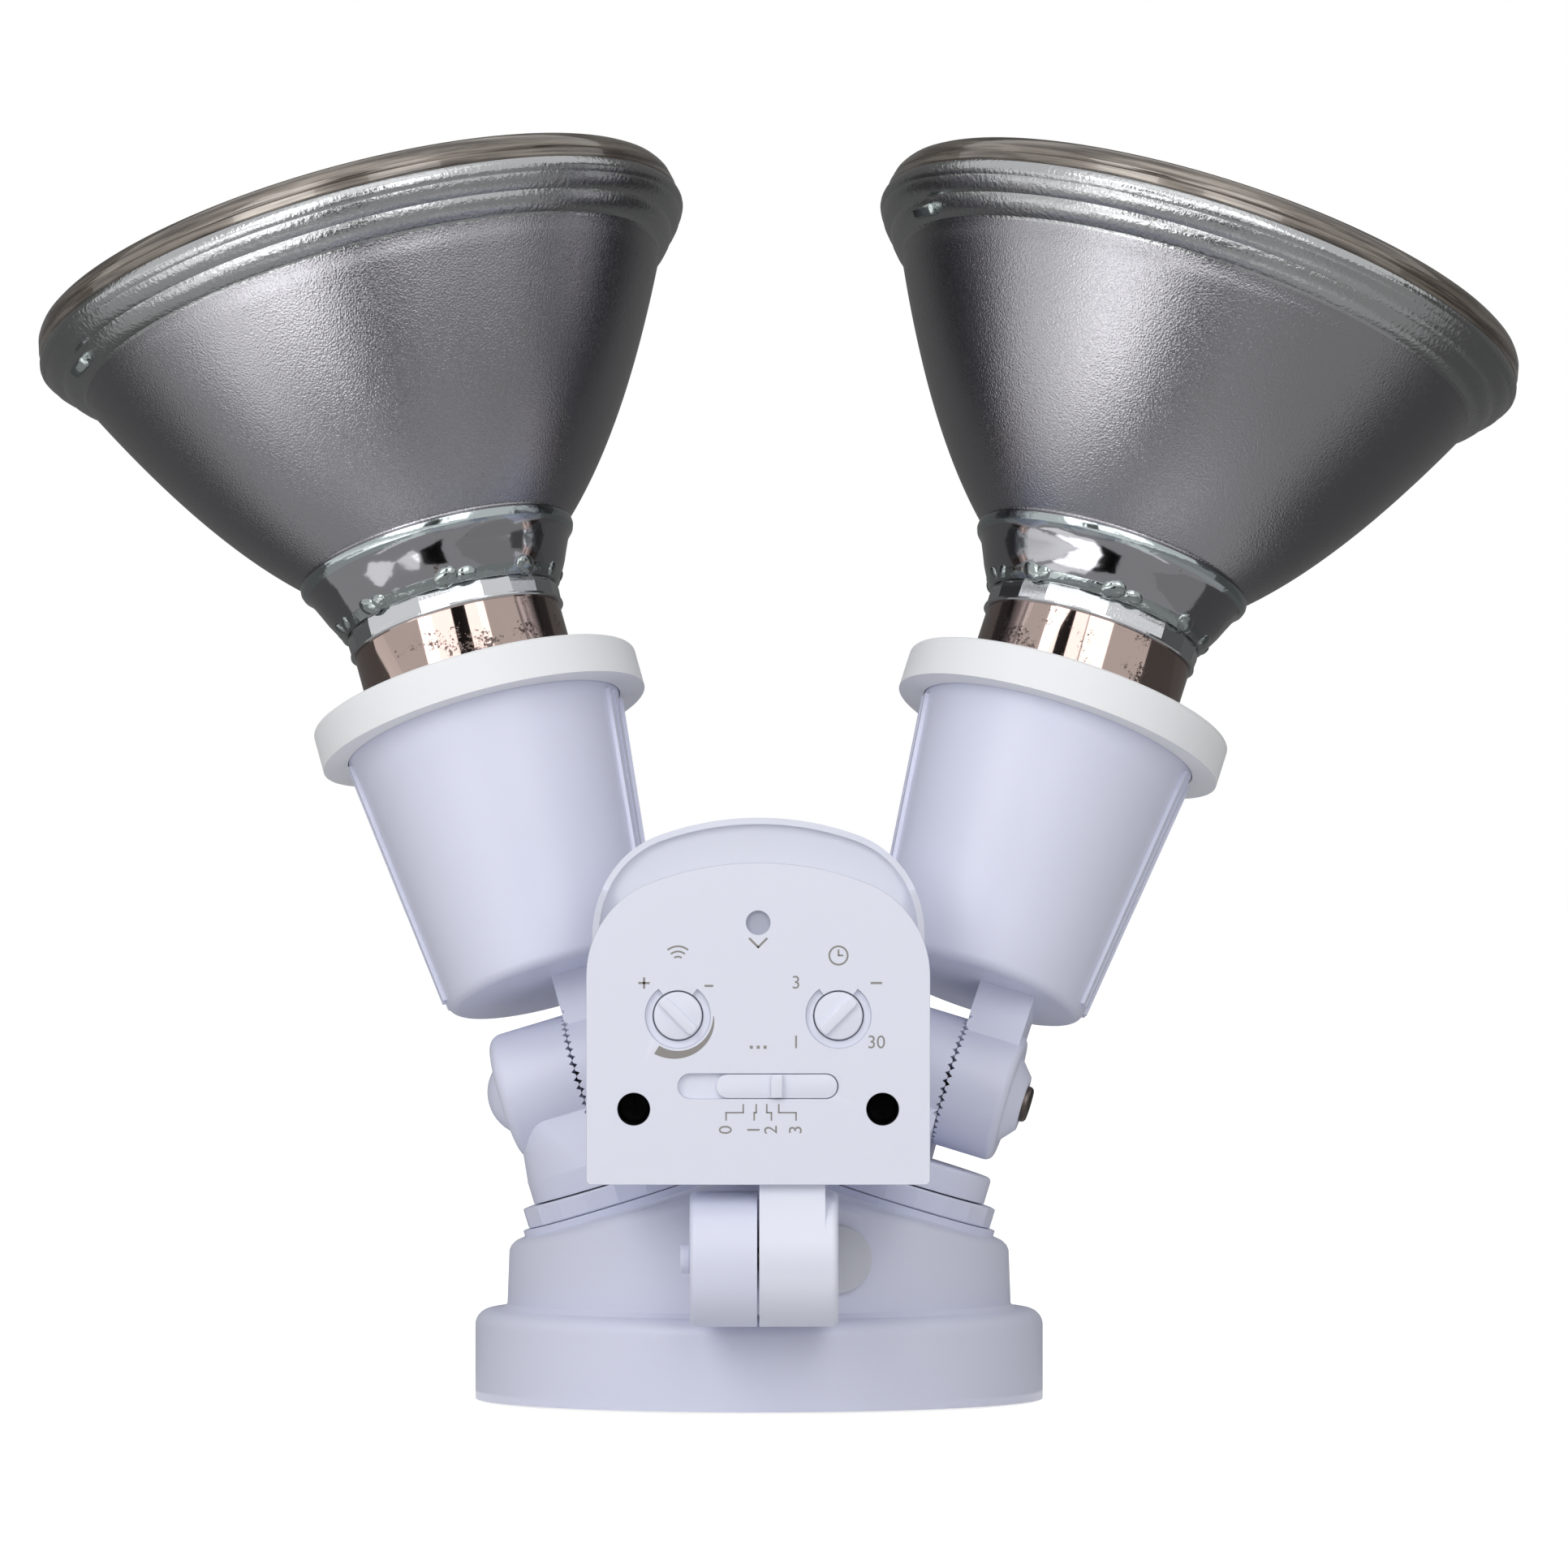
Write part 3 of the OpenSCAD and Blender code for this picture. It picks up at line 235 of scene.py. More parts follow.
def moulded_skin_group():
    """A moulded skin: a fine grain to bump, and faint clouds in its colour and gloss."""
    inputs = {"Colour": (0.8, 0.8, 0.8, 1.0), "Shade": 0.03, "Cloud Scale": 40.0,
              "Grain Scale": 2600.0, "Roughness": 0.4, "Roughness Spread": 0.08}
    outputs = {"Colour": "NodeSocketColor", "Roughness": "NodeSocketFloat", "Height": "NodeSocketFloat"}
    group, given, result = effect_group("Moulded Skin", inputs, outputs)
    place = add_node(group, "TexCoord")
    cloud = add_node(group, "TexNoise", Detail=3.0, Roughness=0.55)
    grain = add_node(group, "TexNoise", Detail=2.0, Roughness=0.5)
    fleck = add_node(group, "TexNoise", Detail=4.0, Roughness=0.6)
    darker = add_node(group, "Mix", data_type="RGBA", blend_type="MULTIPLY")
    amount = add_node(group, "Math", operation="MULTIPLY")
    gloss = add_node(group, "MapRange")
    low = add_node(group, "Math", operation="SUBTRACT")
    high = add_node(group, "Math", operation="ADD")
    link = group.links.new
    for texture, scale in ((cloud, "Cloud Scale"), (grain, "Grain Scale"), (fleck, "Cloud Scale")):
        link(place.outputs["Object"], texture.inputs["Vector"])
        link(given.outputs[scale], texture.inputs["Scale"])
    link(cloud.outputs["Fac"], amount.inputs[0])
    link(given.outputs["Shade"], amount.inputs[1])
    link(amount.outputs[0], darker.inputs["Factor"])
    link(given.outputs["Colour"], darker.inputs["A"])
    darker.inputs["B"].default_value = (0.55, 0.56, 0.6, 1.0)
    for limit in (low, high):
        link(given.outputs["Roughness"], limit.inputs[0])
        link(given.outputs["Roughness Spread"], limit.inputs[1])
    link(fleck.outputs["Fac"], gloss.inputs["Value"])
    link(low.outputs[0], gloss.inputs["To Min"])
    link(high.outputs[0], gloss.inputs["To Max"])
    link(darker.outputs["Result"], result.inputs["Colour"])
    link(gloss.outputs["Result"], result.inputs["Roughness"])
    link(grain.outputs["Fac"], result.inputs["Height"])
    return group


def plain_material(name, **values):
    """A material whose Principled shader has its constants set on its own sockets."""
    material = bpy.data.materials.new(name)
    material.use_nodes = True
    tree = material.node_tree
    shader = tree.nodes["Principled BSDF"]
    for socket, value in values.items():
        shader.inputs[socket.replace("_", " ")].default_value = value
    return material, tree, shader


def bump_into(tree, shader, height, strength, distance):
    """Lets a height texture tip the shader's normals."""
    bump = add_node(tree, "Bump", Strength=strength, Distance=distance)
    tree.links.new(height, bump.inputs["Height"])
    tree.links.new(bump.outputs["Normal"], shader.inputs["Normal"])


def add_skin(tree, shader, colour, grain_size, **values):
    """Gives a shader the moulded skin's colour and gloss, and returns the height of its grain."""
    skin = add_node(tree, "Group", node_tree=bpy.data.node_groups["Moulded Skin"],
                    Colour=(*colour, 1.0), Grain_Scale=1.0 / (grain_size * MM), **values)
    tree.links.new(skin.outputs["Colour"], shader.inputs["Base Color"])
    tree.links.new(skin.outputs["Roughness"], shader.inputs["Roughness"])
    return skin.outputs["Height"]


def moulded_material(name, colour, roughness=0.4, shade=0.05, grain=0.1, grain_size=0.4, sheen=0.5):
    """White or grey moulded plastic, or a powder coat where the grain is coarser."""
    material, tree, shader = plain_material(name, IOR=1.5, Specular_IOR_Level=sheen)
    height = add_skin(tree, shader, colour, grain_size, Shade=shade, Roughness=roughness)
    bump_into(tree, shader, height, grain, 0.05 * MM)
    return material


def metal_material(name, colour, roughness, size, bump=0.1, coat=0.0):
    """Metal with a fine surface whose grain has the given size in millimetres."""
    material, tree, shader = plain_material(name, Metallic=1.0, Coat_Weight=coat, Coat_Roughness=0.03)
    height = add_skin(tree, shader, colour, size, Shade=0.12, Roughness=roughness,
                      Roughness_Spread=0.06)
    bump_into(tree, shader, height, bump, 0.1 * MM)
    return material


def speck_group():
    """Dark specks, gathered in patches: the colour with them, and where they are."""
    inputs = {"Colour": (0.5, 0.5, 0.5, 1.0), "Speck Colour": (0.1, 0.08, 0.07, 1.0),
              "Speck Scale": 1500.0, "Patch Scale": 150.0, "Detail": 6.0, "Threshold": 0.335,
              "Softness": 0.04}
    outputs = {"Colour": "NodeSocketColor", "Mask": "NodeSocketFloat"}
    group, given, result = effect_group("Specks", inputs, outputs)
    place = add_node(group, "TexCoord")
    spots = add_node(group, "TexNoise", Roughness=0.72)
    patches = add_node(group, "TexNoise", Detail=2.0)
    both = add_node(group, "Math", operation="MULTIPLY")
    limit = add_node(group, "Math", operation="ADD")
    mask = add_node(group, "MapRange")
    colour = add_node(group, "Mix", data_type="RGBA")
    link = group.links.new
    for texture, scale in ((spots, "Speck Scale"), (patches, "Patch Scale")):
        link(place.outputs["Object"], texture.inputs["Vector"])
        link(given.outputs[scale], texture.inputs["Scale"])
    link(given.outputs["Detail"], spots.inputs["Detail"])
    link(spots.outputs["Fac"], both.inputs[0])
    link(patches.outputs["Fac"], both.inputs[1])
    link(given.outputs["Threshold"], limit.inputs[0])
    link(given.outputs["Softness"], limit.inputs[1])
    link(both.outputs[0], mask.inputs["Value"])
    link(given.outputs["Threshold"], mask.inputs["From Min"])
    link(limit.outputs[0], mask.inputs["From Max"])
    link(mask.outputs["Result"], colour.inputs["Factor"])
    link(given.outputs["Colour"], colour.inputs["A"])
    link(given.outputs["Speck Colour"], colour.inputs["B"])
    link(colour.outputs["Result"], result.inputs["Colour"])
    link(mask.outputs["Result"], result.inputs["Mask"])
    return group


def nickel_material():
    """Polished nickel with faint stains and fine dark specks."""
    material, tree, shader = plain_material("Spotted Nickel", Metallic=1.0)
    place = add_node(tree, "TexCoord")
    stain = add_node(tree, "TexNoise", Scale=60.0, Detail=3.0, Distortion=0.4)
    base = add_node(tree, "Mix", data_type="RGBA")
    base.inputs["A"].default_value = (0.43, 0.34, 0.31, 1.0)
    base.inputs["B"].default_value = (0.37, 0.29, 0.265, 1.0)
    specks = add_node(tree, "Group", node_tree=bpy.data.node_groups["Specks"],
                      Speck_Colour=(0.09, 0.07, 0.065, 1.0))
    rough = add_node(tree, "MapRange", To_Min=0.05, To_Max=0.4)
    link = tree.links.new
    link(place.outputs["Object"], stain.inputs["Vector"])
    link(stain.outputs["Fac"], base.inputs["Factor"])
    link(base.outputs["Result"], specks.inputs["Colour"])
    link(specks.outputs["Colour"], shader.inputs["Base Color"])
    link(specks.outputs["Mask"], rough.inputs["Value"])
    link(rough.outputs["Result"], shader.inputs["Roughness"])
    return material


def neck_material():
    """The mirror inside the glass neck: bright silver with a few burnt specks."""
    material, tree, shader = plain_material(
        "Neck Silver", Metallic=1.0, Roughness=0.09, Coat_Weight=0.5, Coat_Roughness=0.02)
    place = add_node(tree, "TexCoord")
    specks = add_node(tree, "Group", node_tree=bpy.data.node_groups["Specks"],
                      Colour=(0.34, 0.34, 0.36, 1.0), Speck_Colour=(0.13, 0.09, 0.06, 1.0),
                      Speck_Scale=420.0, Patch_Scale=70.0, Detail=5.0, Threshold=0.37, Softness=0.05)
    ripple = add_node(tree, "TexNoise", Scale=260.0, Detail=2.0)
    tree.links.new(place.outputs["Object"], ripple.inputs["Vector"])
    tree.links.new(specks.outputs["Colour"], shader.inputs["Base Color"])
    bump_into(tree, shader, ripple.outputs["Fac"], 0.35, 0.15 * MM)
    return material


def rim_material(side):
    """The lens's thick glass edge, whose brown and grey streaks of painted reflection run round the
    rim.
    """
    # Dark and pale brown for the streaks of painted reflection in the clear glass edge
    dark, pale = (0.05, 0.036, 0.027, 1.0), (0.27, 0.235, 0.2, 1.0)
    material, tree, shader = plain_material(
        f"Rim Glass Painted Reflection {side.title()}", Metallic=0.35, Roughness=0.16, IOR=1.5, Coat_Weight=0.8,
        Coat_Roughness=0.04)
    place = add_node(tree, "TexCoord")
    centre = add_node(tree, "Mapping", vector_type="POINT")
    inverse = (lamp_frame(side) @ Matrix.Translation((LAMP_SHIFT * MM, 0, 0))).inverted()
    centre.inputs["Location"].default_value = inverse.to_translation()
    centre.inputs["Rotation"].default_value = inverse.to_euler()
    stretch = add_node(tree, "Mapping", vector_type="POINT")
    stretch.inputs["Scale"].default_value = (1.0, 1.0, 26.0)
    streaks = add_node(tree, "TexNoise", Scale=46.0, Detail=4.0, Roughness=0.6)
    ramp = add_node(tree, "ValToRGB")
    for stop, position, colour in zip(ramp.color_ramp.elements, (0.36, 0.66), (dark, pale)):
        stop.position = position
        stop.color = colour
    link = tree.links.new
    link(place.outputs["Object"], centre.inputs["Vector"])
    link(centre.outputs["Vector"], stretch.inputs["Vector"])
    link(stretch.outputs["Vector"], streaks.inputs["Vector"])
    link(streaks.outputs["Fac"], ramp.inputs["Fac"])
    link(ramp.outputs["Color"], shader.inputs["Base Color"])
    bump_into(tree, shader, streaks.outputs["Fac"], 0.25, 0.1 * MM)
    return material


def glass_material(name, colour, roughness):
    """Pressed glass with a faint ripple."""
    ripple_size, strength, depth = 1.2 * MM, 0.1, 0.1 * MM
    material, tree, shader = plain_material(
        name, Base_Color=(*colour, 1.0), Roughness=roughness, IOR=1.5, Transmission_Weight=1.0)
    place = add_node(tree, "TexCoord")
    ripple = add_node(tree, "TexNoise", Scale=1.0 / ripple_size, Detail=2.0)
    tree.links.new(place.outputs["Object"], ripple.inputs["Vector"])
    bump_into(tree, shader, ripple.outputs["Fac"], strength, depth)
    return material


def make_materials():
    moulded_skin_group()
    speck_group()
    return {
        "white_cast": moulded_material("Cast White", (0.735, 0.755, 0.9), 0.42, 0.06, 0.12, 0.5),
        "white_shell": moulded_material("Shell White", (0.79, 0.81, 0.915), 0.34, 0.04, 0.05, 0.4),
        # The round plug's grey is painted shade: it stands for the shade in the round recess of the
        # base's front, behind the hinge drum
        "grey_plug": moulded_material("Plug Grey Painted Shade", (0.66, 0.67, 0.72), 0.5, 0.08),
        "foam": moulded_material("Black Foam", (0.03, 0.03, 0.03), 0.9, 0.2, 0.6, 0.3),
        "zinc_steel": metal_material("Zinc Steel", (0.6, 0.6, 0.62), 0.35, 0.5),
        "green_steel": moulded_material("Green Coat", (0.03, 0.3, 0.08), 0.3, 0.1),
        "dark_steel": metal_material("Dark Steel", (0.12, 0.1, 0.09), 0.35, 0.4),
        "white_rubber": moulded_material("White Rubber", (0.92, 0.93, 0.95), 0.62, 0.08, 0.15, 0.3,
                                         sheen=0.3),
        "porcelain": moulded_material("Porcelain", (0.8, 0.79, 0.74), 0.12, 0.05, 0.03),
        "shell_metal": metal_material("Pressed Aluminium", (0.8, 0.8, 0.82), 0.25, 0.6),
        "brass": metal_material("Spring Brass", (0.72, 0.52, 0.2), 0.25, 0.5),
        "nickel": nickel_material(),
        "neck_silver": neck_material(),
        "black_glass": moulded_material("Black Glass", (0.01, 0.01, 0.01), 0.1, 0.1),
        "silvered_glass": metal_material("Silvered Glass", (0.345, 0.34, 0.36), 0.12, 0.36, 0.95),
        "flange_silver": metal_material("Flange Silver", (0.41, 0.415, 0.42), 0.2, 0.8, 1.3, 0.3),
        "clear_glass": glass_material("Pressed Glass", (0.93, 0.92, 0.88), 0.04),
        "lump_glass": metal_material("Lump Glass", (0.3, 0.335, 0.33), 0.12, 1.3, 1.0, 0.6),
        "bead_glass": metal_material("Bead Glass", (0.38, 0.425, 0.43), 0.13, 2.2, 0.9, 0.5),
        "crimp": metal_material("Crimp Aluminium", (0.56, 0.57, 0.585), 0.1, 0.5, 0.15),
        "rim_left": rim_material("left"),
        "rim_right": rim_material("right"),
        "quartz": glass_material("Quartz", (0.96, 0.97, 1.0), 0.02),
        "filament_wire": metal_material("Lead Wire", (0.45, 0.45, 0.47), 0.3, 0.4),
        "lens_white": moulded_material("Film Lens", (0.85, 0.85, 0.86), 0.35, 0.03),
        "window_blue": moulded_material("Window Blue", (0.42, 0.44, 0.53), 0.3, 0.1),
        "circuit_board": moulded_material("Solder Mask", (0.02, 0.2, 0.06), 0.3, 0.15),
        "can_metal": metal_material("Plated Can", (0.75, 0.75, 0.76), 0.15, 0.5),
        "black_case": moulded_material("Black Case", (0.02, 0.02, 0.02), 0.45, 0.1),
        "sleeve_blue": moulded_material("Blue Sleeve", (0.03, 0.05, 0.2), 0.25, 0.1),
        "trimmer_blue": moulded_material("Trimmer Blue", (0.05, 0.13, 0.45), 0.4, 0.1),
        "switch_metal": metal_material("Tinned Frame", (0.7, 0.7, 0.72), 0.3, 0.5),
        # The panel's rounded edges take a darker grey: painted shade for the shadow lines along its
        # seams, slot and knob holes
        "panel_edge": moulded_material("Panel Edge Painted Shade", (0.56, 0.58, 0.69), 0.4, 0.04, 0.05, 0.4),
        # Black, painted shade for the inside of the panel's deep screw wells and for the screws at
        # their bottom
        "well_painted_shade": moulded_material("Well Painted Shade", (0.004, 0.004, 0.004), 0.8, 0.0),
        "print_grey": moulded_material("Print Grey", (0.27, 0.255, 0.245), 0.5, 0.05),
    }


# Settings

class MouldingSettings(PropertyGroup):
    edge: FloatProperty(name="Edge rounding", description="Radius of the mouldings' sharp edges",
                        default=0.35 * MM, min=0.0, max=1.0 * MM, unit="LENGTH")
    panel_edge: FloatProperty(name="Panel edge rounding",
                              description="Radius of the control panel's edges",
                              default=0.5 * MM, min=0.0, max=0.7 * MM, unit="LENGTH")
    knob_edge: FloatProperty(name="Knob rounding", description="Radius of the knobs' edges",
                             default=0.22 * MM, min=0.0, max=0.4 * MM, unit="LENGTH")


class BulbSettings(PropertyGroup):
    lumps: IntProperty(name="Glass lumps", description="Pairs of glass lumps round the neck",
                       default=9, min=4, max=16)
    facets: IntProperty(name="Crimp facets", description="Flat faces that the crimp is pressed into",
                        default=21, min=8, max=36)
    dent: FloatProperty(name="Facet unevenness",
                        description="Most that a facet's corner stands in or out",
                        default=0.16 * MM, min=0.0, max=0.4 * MM, unit="LENGTH")


class LegendSettings(PropertyGroup):
    ink: FloatProperty(name="Ink thickness", description="Thickness of the printed marks",
                       default=0.02 * MM, min=0.0, max=0.1 * MM, unit="LENGTH")
    digit_height: FloatProperty(name="Digit height", description="Height of the dial's digits",
                                default=2.3 * MM, min=1.0 * MM, max=4.0 * MM, unit="LENGTH")


class StudioSettings(PropertyGroup):
    distance: FloatProperty(name="Camera distance",
                            description="Camera's distance from the base's axis",
                            default=2.13, unit="LENGTH")
    height: FloatProperty(name="Camera height", description="Camera's height over the floor",
                          default=0.1107, unit="LENGTH")
    sideways: FloatProperty(name="Camera offset",
                            description="Camera's distance right of the base's axis",
                            default=0.0045, unit="LENGTH")
    lens: FloatProperty(name="Focal length", description="Focal length of the camera in millimetres",
                        default=271.0)
    backdrop: FloatVectorProperty(name="Backdrop", description="Colour of the floor and backdrop",
                                  subtype="COLOR", size=3, default=(1.0, 1.0, 1.0), min=0.0, max=1.0)


# Operators

MATERIALS = {}


class PieceOperator:
    bl_options = {"REGISTER", "UNDO"}


# Nodes whose mesh stays, with its edges rounded
MOULDED = ("base_cover", "locknut_left", "locknut_right", "arm_left", "arm_right", "holder_left",
           "holder_right", "sensor_swivel", "hinge_screw", "base_plug", "sensor_housing",
           "sensor_panel")


class LIGHT_OT_mouldings(PieceOperator, Operator):
    """Rounds the edges of the base, arms, holders, hinge and sensor head, and finishes them, with
    painted shade on the panel's edges and in its screw wells
    """
    bl_idname = "light.mouldings"
    bl_label = "Dress Mouldings"

    def execute(self, context):
        settings = context.scene.light_mouldings
        for node in MOULDED:
            slot = slot_of(node)
            bm = node_copy(node)
            materials = [MATERIALS[slot]]
            is_panel = node == "sensor_panel"
            if is_panel:
                self.paint_well_shade(bm)
                materials += [MATERIALS["well_painted_shade"], MATERIALS["panel_edge"]]
            piece = finish_piece(node + "_shell", bm, body_of(node), materials,
                                 smooth=12 if node.startswith("locknut") else 35)
            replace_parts(piece, node)
            bevel = piece.modifiers.new("Rounded edges", "BEVEL")
            bevel.width = settings.panel_edge if is_panel else settings.edge
            bevel.segments = 3
            # The panel's rounded edges take the darker edge grey, which is painted shade
            bevel.material = materials.index(MATERIALS["panel_edge"]) if is_panel else -1
            bevel.limit_method = "ANGLE"
            bevel.angle_limit = math.radians(38)
            bevel.harden_normals = True
        return {"FINISHED"}

    def paint_well_shade(self, bm):
        """The panel's two screw wells get painted shade: their inner faces are painted black."""
        low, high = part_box("panel_screws")
        head, well, lip = 2.7 * MM, 3.0 * MM, 0.3 * MM
        height = (low.z + high.z) / 2
        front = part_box("sensor_panel")[0].y
        for face in bm.faces:
            middle = face.calc_center_median()
            away = math.hypot(abs(middle.x) - (high.x - head), middle.z - height)
            if away < well and middle.y > front + lip:
                face.material_index = 1


# Half of a knob's section, as (radius, height) in millimetres with its face at 0
KNOB = ((0, 0.1), (3.85, 0.1), (4.05, 0.04), (4.18, -0.15), (4.2, -0.4), (4.2, -2.6), (4.9, -2.6),
        (4.9, -3.9), (2.0, -3.9), (2.0, -11.5), (0, -11.5))


class LIGHT_OT_controls(PieceOperator, Operator):
    """Shapes the two knobs with their pointer bars, and the slider with its ridge"""
    bl_idname = "light.controls"
    bl_label = "Make Controls"

    def execute(self, context):
        edge = context.scene.light_mouldings.knob_edge / MM
        for node, turn in (("sens_knob", -45), ("time_knob", 45)):
            bm = spin_profile(KNOB, steps=72, closed=False)
            bar = Matrix.Rotation(math.radians(turn), 4, "Z") @ Matrix.Translation((0, 0, 0.325))
            add_block(bm, (8.1, 1.9, 1.25), bar, edge, ends=0.7)
            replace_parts(self.finish(node, bm, 0.95), node)
        low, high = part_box("mode_slider")
        length, height = (high.x - low.x) / MM, (high.z - low.z) / MM
        bm = bmesh.new()
        plate = Matrix.Translation((0, 0, -0.7))
        add_block(bm, (length, height, 0.9), plate, edge * 0.5, segments=2, ends=height / 2 - 0.02)
        add_block(bm, (2.0, height - 0.1, 1.35), Matrix.Translation((0, 0, 0.325)), edge)
        add_block(bm, (1.8, 1.8, 9.5), Matrix.Translation((0, 0, -5.2)), 0.1, segments=1)
        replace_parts(self.finish("mode_slider", bm, 1.0), "mode_slider")
        return {"FINISHED"}

    def finish(self, node, bm, ridge):
        """Sets a control on the panel, whose ridge stands out by the given height."""
        low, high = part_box(node)
        face = Matrix.Translation(((low.x + high.x) / 2, low.y + ridge * MM, (low.z + high.z) / 2))
        place = face @ Matrix.Rotation(math.radians(90), 4, "X") @ Matrix.Scale(MM, 4)
        slot = slot_of(node)
        return finish_piece(node + "_shaped", bm, body_of(node), MATERIALS[slot], place,
                            smooth=30)


class LIGHT_OT_carried(PieceOperator, Operator):
    """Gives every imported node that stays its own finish"""
    bl_idname = "light.carried"
    bl_label = "Finish Packed Parts"

    def execute(self, context):
        for node, piece in frame["nodes"].items():
            # The panel screws at the bottom of their wells take the same black, which is painted shade
            finish = "well_painted_shade" if node == "panel_screws" else slot_of(node)
            piece.data.materials.clear()
            piece.data.materials.append(MATERIALS[finish])
        return {"FINISHED"}


def bowl_points(inset):
    """The bowl's curve from neck to flange: a parabola between the two radii, less the inset."""
    neck, cup, count = 25.2, 53.6, 28
    points = []
    for i in range(count + 1):
        r = neck + (cup - neck) * i / count
        share = (r * r - neck * neck) / (cup * cup - neck * neck)
        points.append((r - inset, BOWL_FOOT + (BOWL_TOP - BOWL_FOOT) * share))
    return points


class LIGHT_OT_reflectors(PieceOperator, Operator):
    """Turns the silvered reflectors with their neck, bead and ringed flange"""
    bl_idname = "light.reflectors"
    bl_label = "Make Reflectors"

    def execute(self, context):
        foot, edge = SKIRT_TOP + 0.5, RIM_EDGE
        neck = [(18.5, foot), (18.5, CRIMP_TOP + 0.1), (20.1, CRIMP_TOP + 0.1), (20.7, CRIMP_TOP + 0.9),
                (21.6, CRIMP_TOP + 2.3), (22.4, CRIMP_TOP + 3.8), (23.3, CRIMP_TOP + 5.9)]
        bead = [(24.2, BOWL_FOOT - 3.6), (24.8, BOWL_FOOT - 2.8), (25.4, BOWL_FOOT - 2.2),
                (25.65, BOWL_FOOT - 1.5), (25.6, BOWL_FOOT - 0.8), (25.25, BOWL_FOOT - 0.3)]
        flange = [(54.1, edge - 12.6), (54.5, edge - 12.1), (55.3, edge - 11.8), (56.4, edge - 11.2),
                  (57.2, edge - 10.3), (57.6, edge - 9.4), (57.75, edge - 8.9), (58.1, edge - 8.75),
                  (58.9, edge - 8.3), (59.6, edge - 7.5), (60.05, edge - 6.7), (60.15, edge - 6.4),
                  (60.5, edge - 6.1), (60.85, edge - 5.4), (60.9, edge - 4.9), (60.8, edge - 4.3),
                  (60.5, edge - 3.8), (60.1, SEAM), (54.6, SEAM), (51.4, edge - 14)]
        inner = [(22.6, BOWL_FOOT - 2.6), (20.4, BOWL_FOOT - 6.5), (16.3, CRIMP_TOP + 1.5),
                 (16.3, foot)]
        for side in SIDES:
            inside = list(reversed(bowl_points(2.2)[:-1]))
            bm = spin_profile(neck + bead + bowl_points(0) + flange + inside + inner)
            paint_bands(bm, (BOWL_FOOT - 2.9, BOWL_FOOT - 0.6, FLANGE_FOOT))
            bands = ("neck_silver", "bead_glass", "silvered_glass", "flange_silver")
            materials = [MATERIALS[key] for key in bands]
            piece = finish_piece(f"reflector_{side}", bm, f"lamp_{side}", materials,
                                 bulb_frame(side), smooth=25)
            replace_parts(piece, f"bulb_reflector_{side}")
            self.make_key(side)
        return {"FINISHED"}

    def make_key(self, side):
        """The small glass wedge under the flange that keys the bulb in a fixture."""
        round_axis, lean, twist = math.radians(-151), math.radians(40), math.radians(12)
        seat = (bulb_frame(side) @ Matrix.Rotation(round_axis, 4, "Z")
                @ Matrix.Translation((57.0, 0, RIM_EDGE - 11.2)) @ Matrix.Rotation(lean, 4, "Y"))
        bm = bmesh.new()
        add_block(bm, (3.0, 5.6, 2.4), Matrix.Rotation(twist, 4, "Z"), 0.7, segments=4)
        finish_piece(f"flange_key_{side}", bm, f"lamp_{side}", MATERIALS["lump_glass"],
                     seat)


class LIGHT_OT_lenses(PieceOperator, Operator):
    """Turns the clear front lenses with their grooved rims, whose brown-grey streaks are painted
    reflection
    """
    bl_idname = "light.lenses"
    bl_label = "Make Lenses"

    def execute(self, context):
        edge = RIM_EDGE
        rim = [(54.6, SEAM), (60.2, SEAM), (60.42, edge - 3.35), (60.4, edge - 2.2), (60.2, edge - 2.0),
               (60.05, edge - 1.85), (60.15, edge - 1.65), (60.2, edge - 1.3), (59.95, edge - 0.2),
               (59.55, edge + 0.5), (59.1, edge + 1.1), (58.5, edge + 1.5)]
        for side in SIDES:
            under, top = self.dome_points(53.1, 3.0), self.dome_points(57.9, 0.0)
            bm = spin_profile(under + rim + list(reversed(top)), closed=False)
            for face in bm.faces:
                middle = face.calc_center_median()
                in_rim = middle.xy.length > 54.0 and middle.z < edge + 1.5
                face.material_index = int(in_rim)
            materials = [MATERIALS["clear_glass"], MATERIALS[f"rim_{side}"]]
            piece = finish_piece(f"front_lens_{side}", bm, f"lamp_{side}", materials,
                                 bulb_frame(side), smooth=25)
            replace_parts(piece, f"bulb_lens_{side}")
        return {"FINISHED"}

    def dome_points(self, radius, depth):
        """The lens's slight dome out to a radius, at a depth under its outer face."""
        crown, rise, steps = 4.2, 1.6, 16
        return [(radius * i / steps, RIM_EDGE + crown - depth - (crown - rise) * (i / steps) ** 2)
                for i in range(steps + 1)]


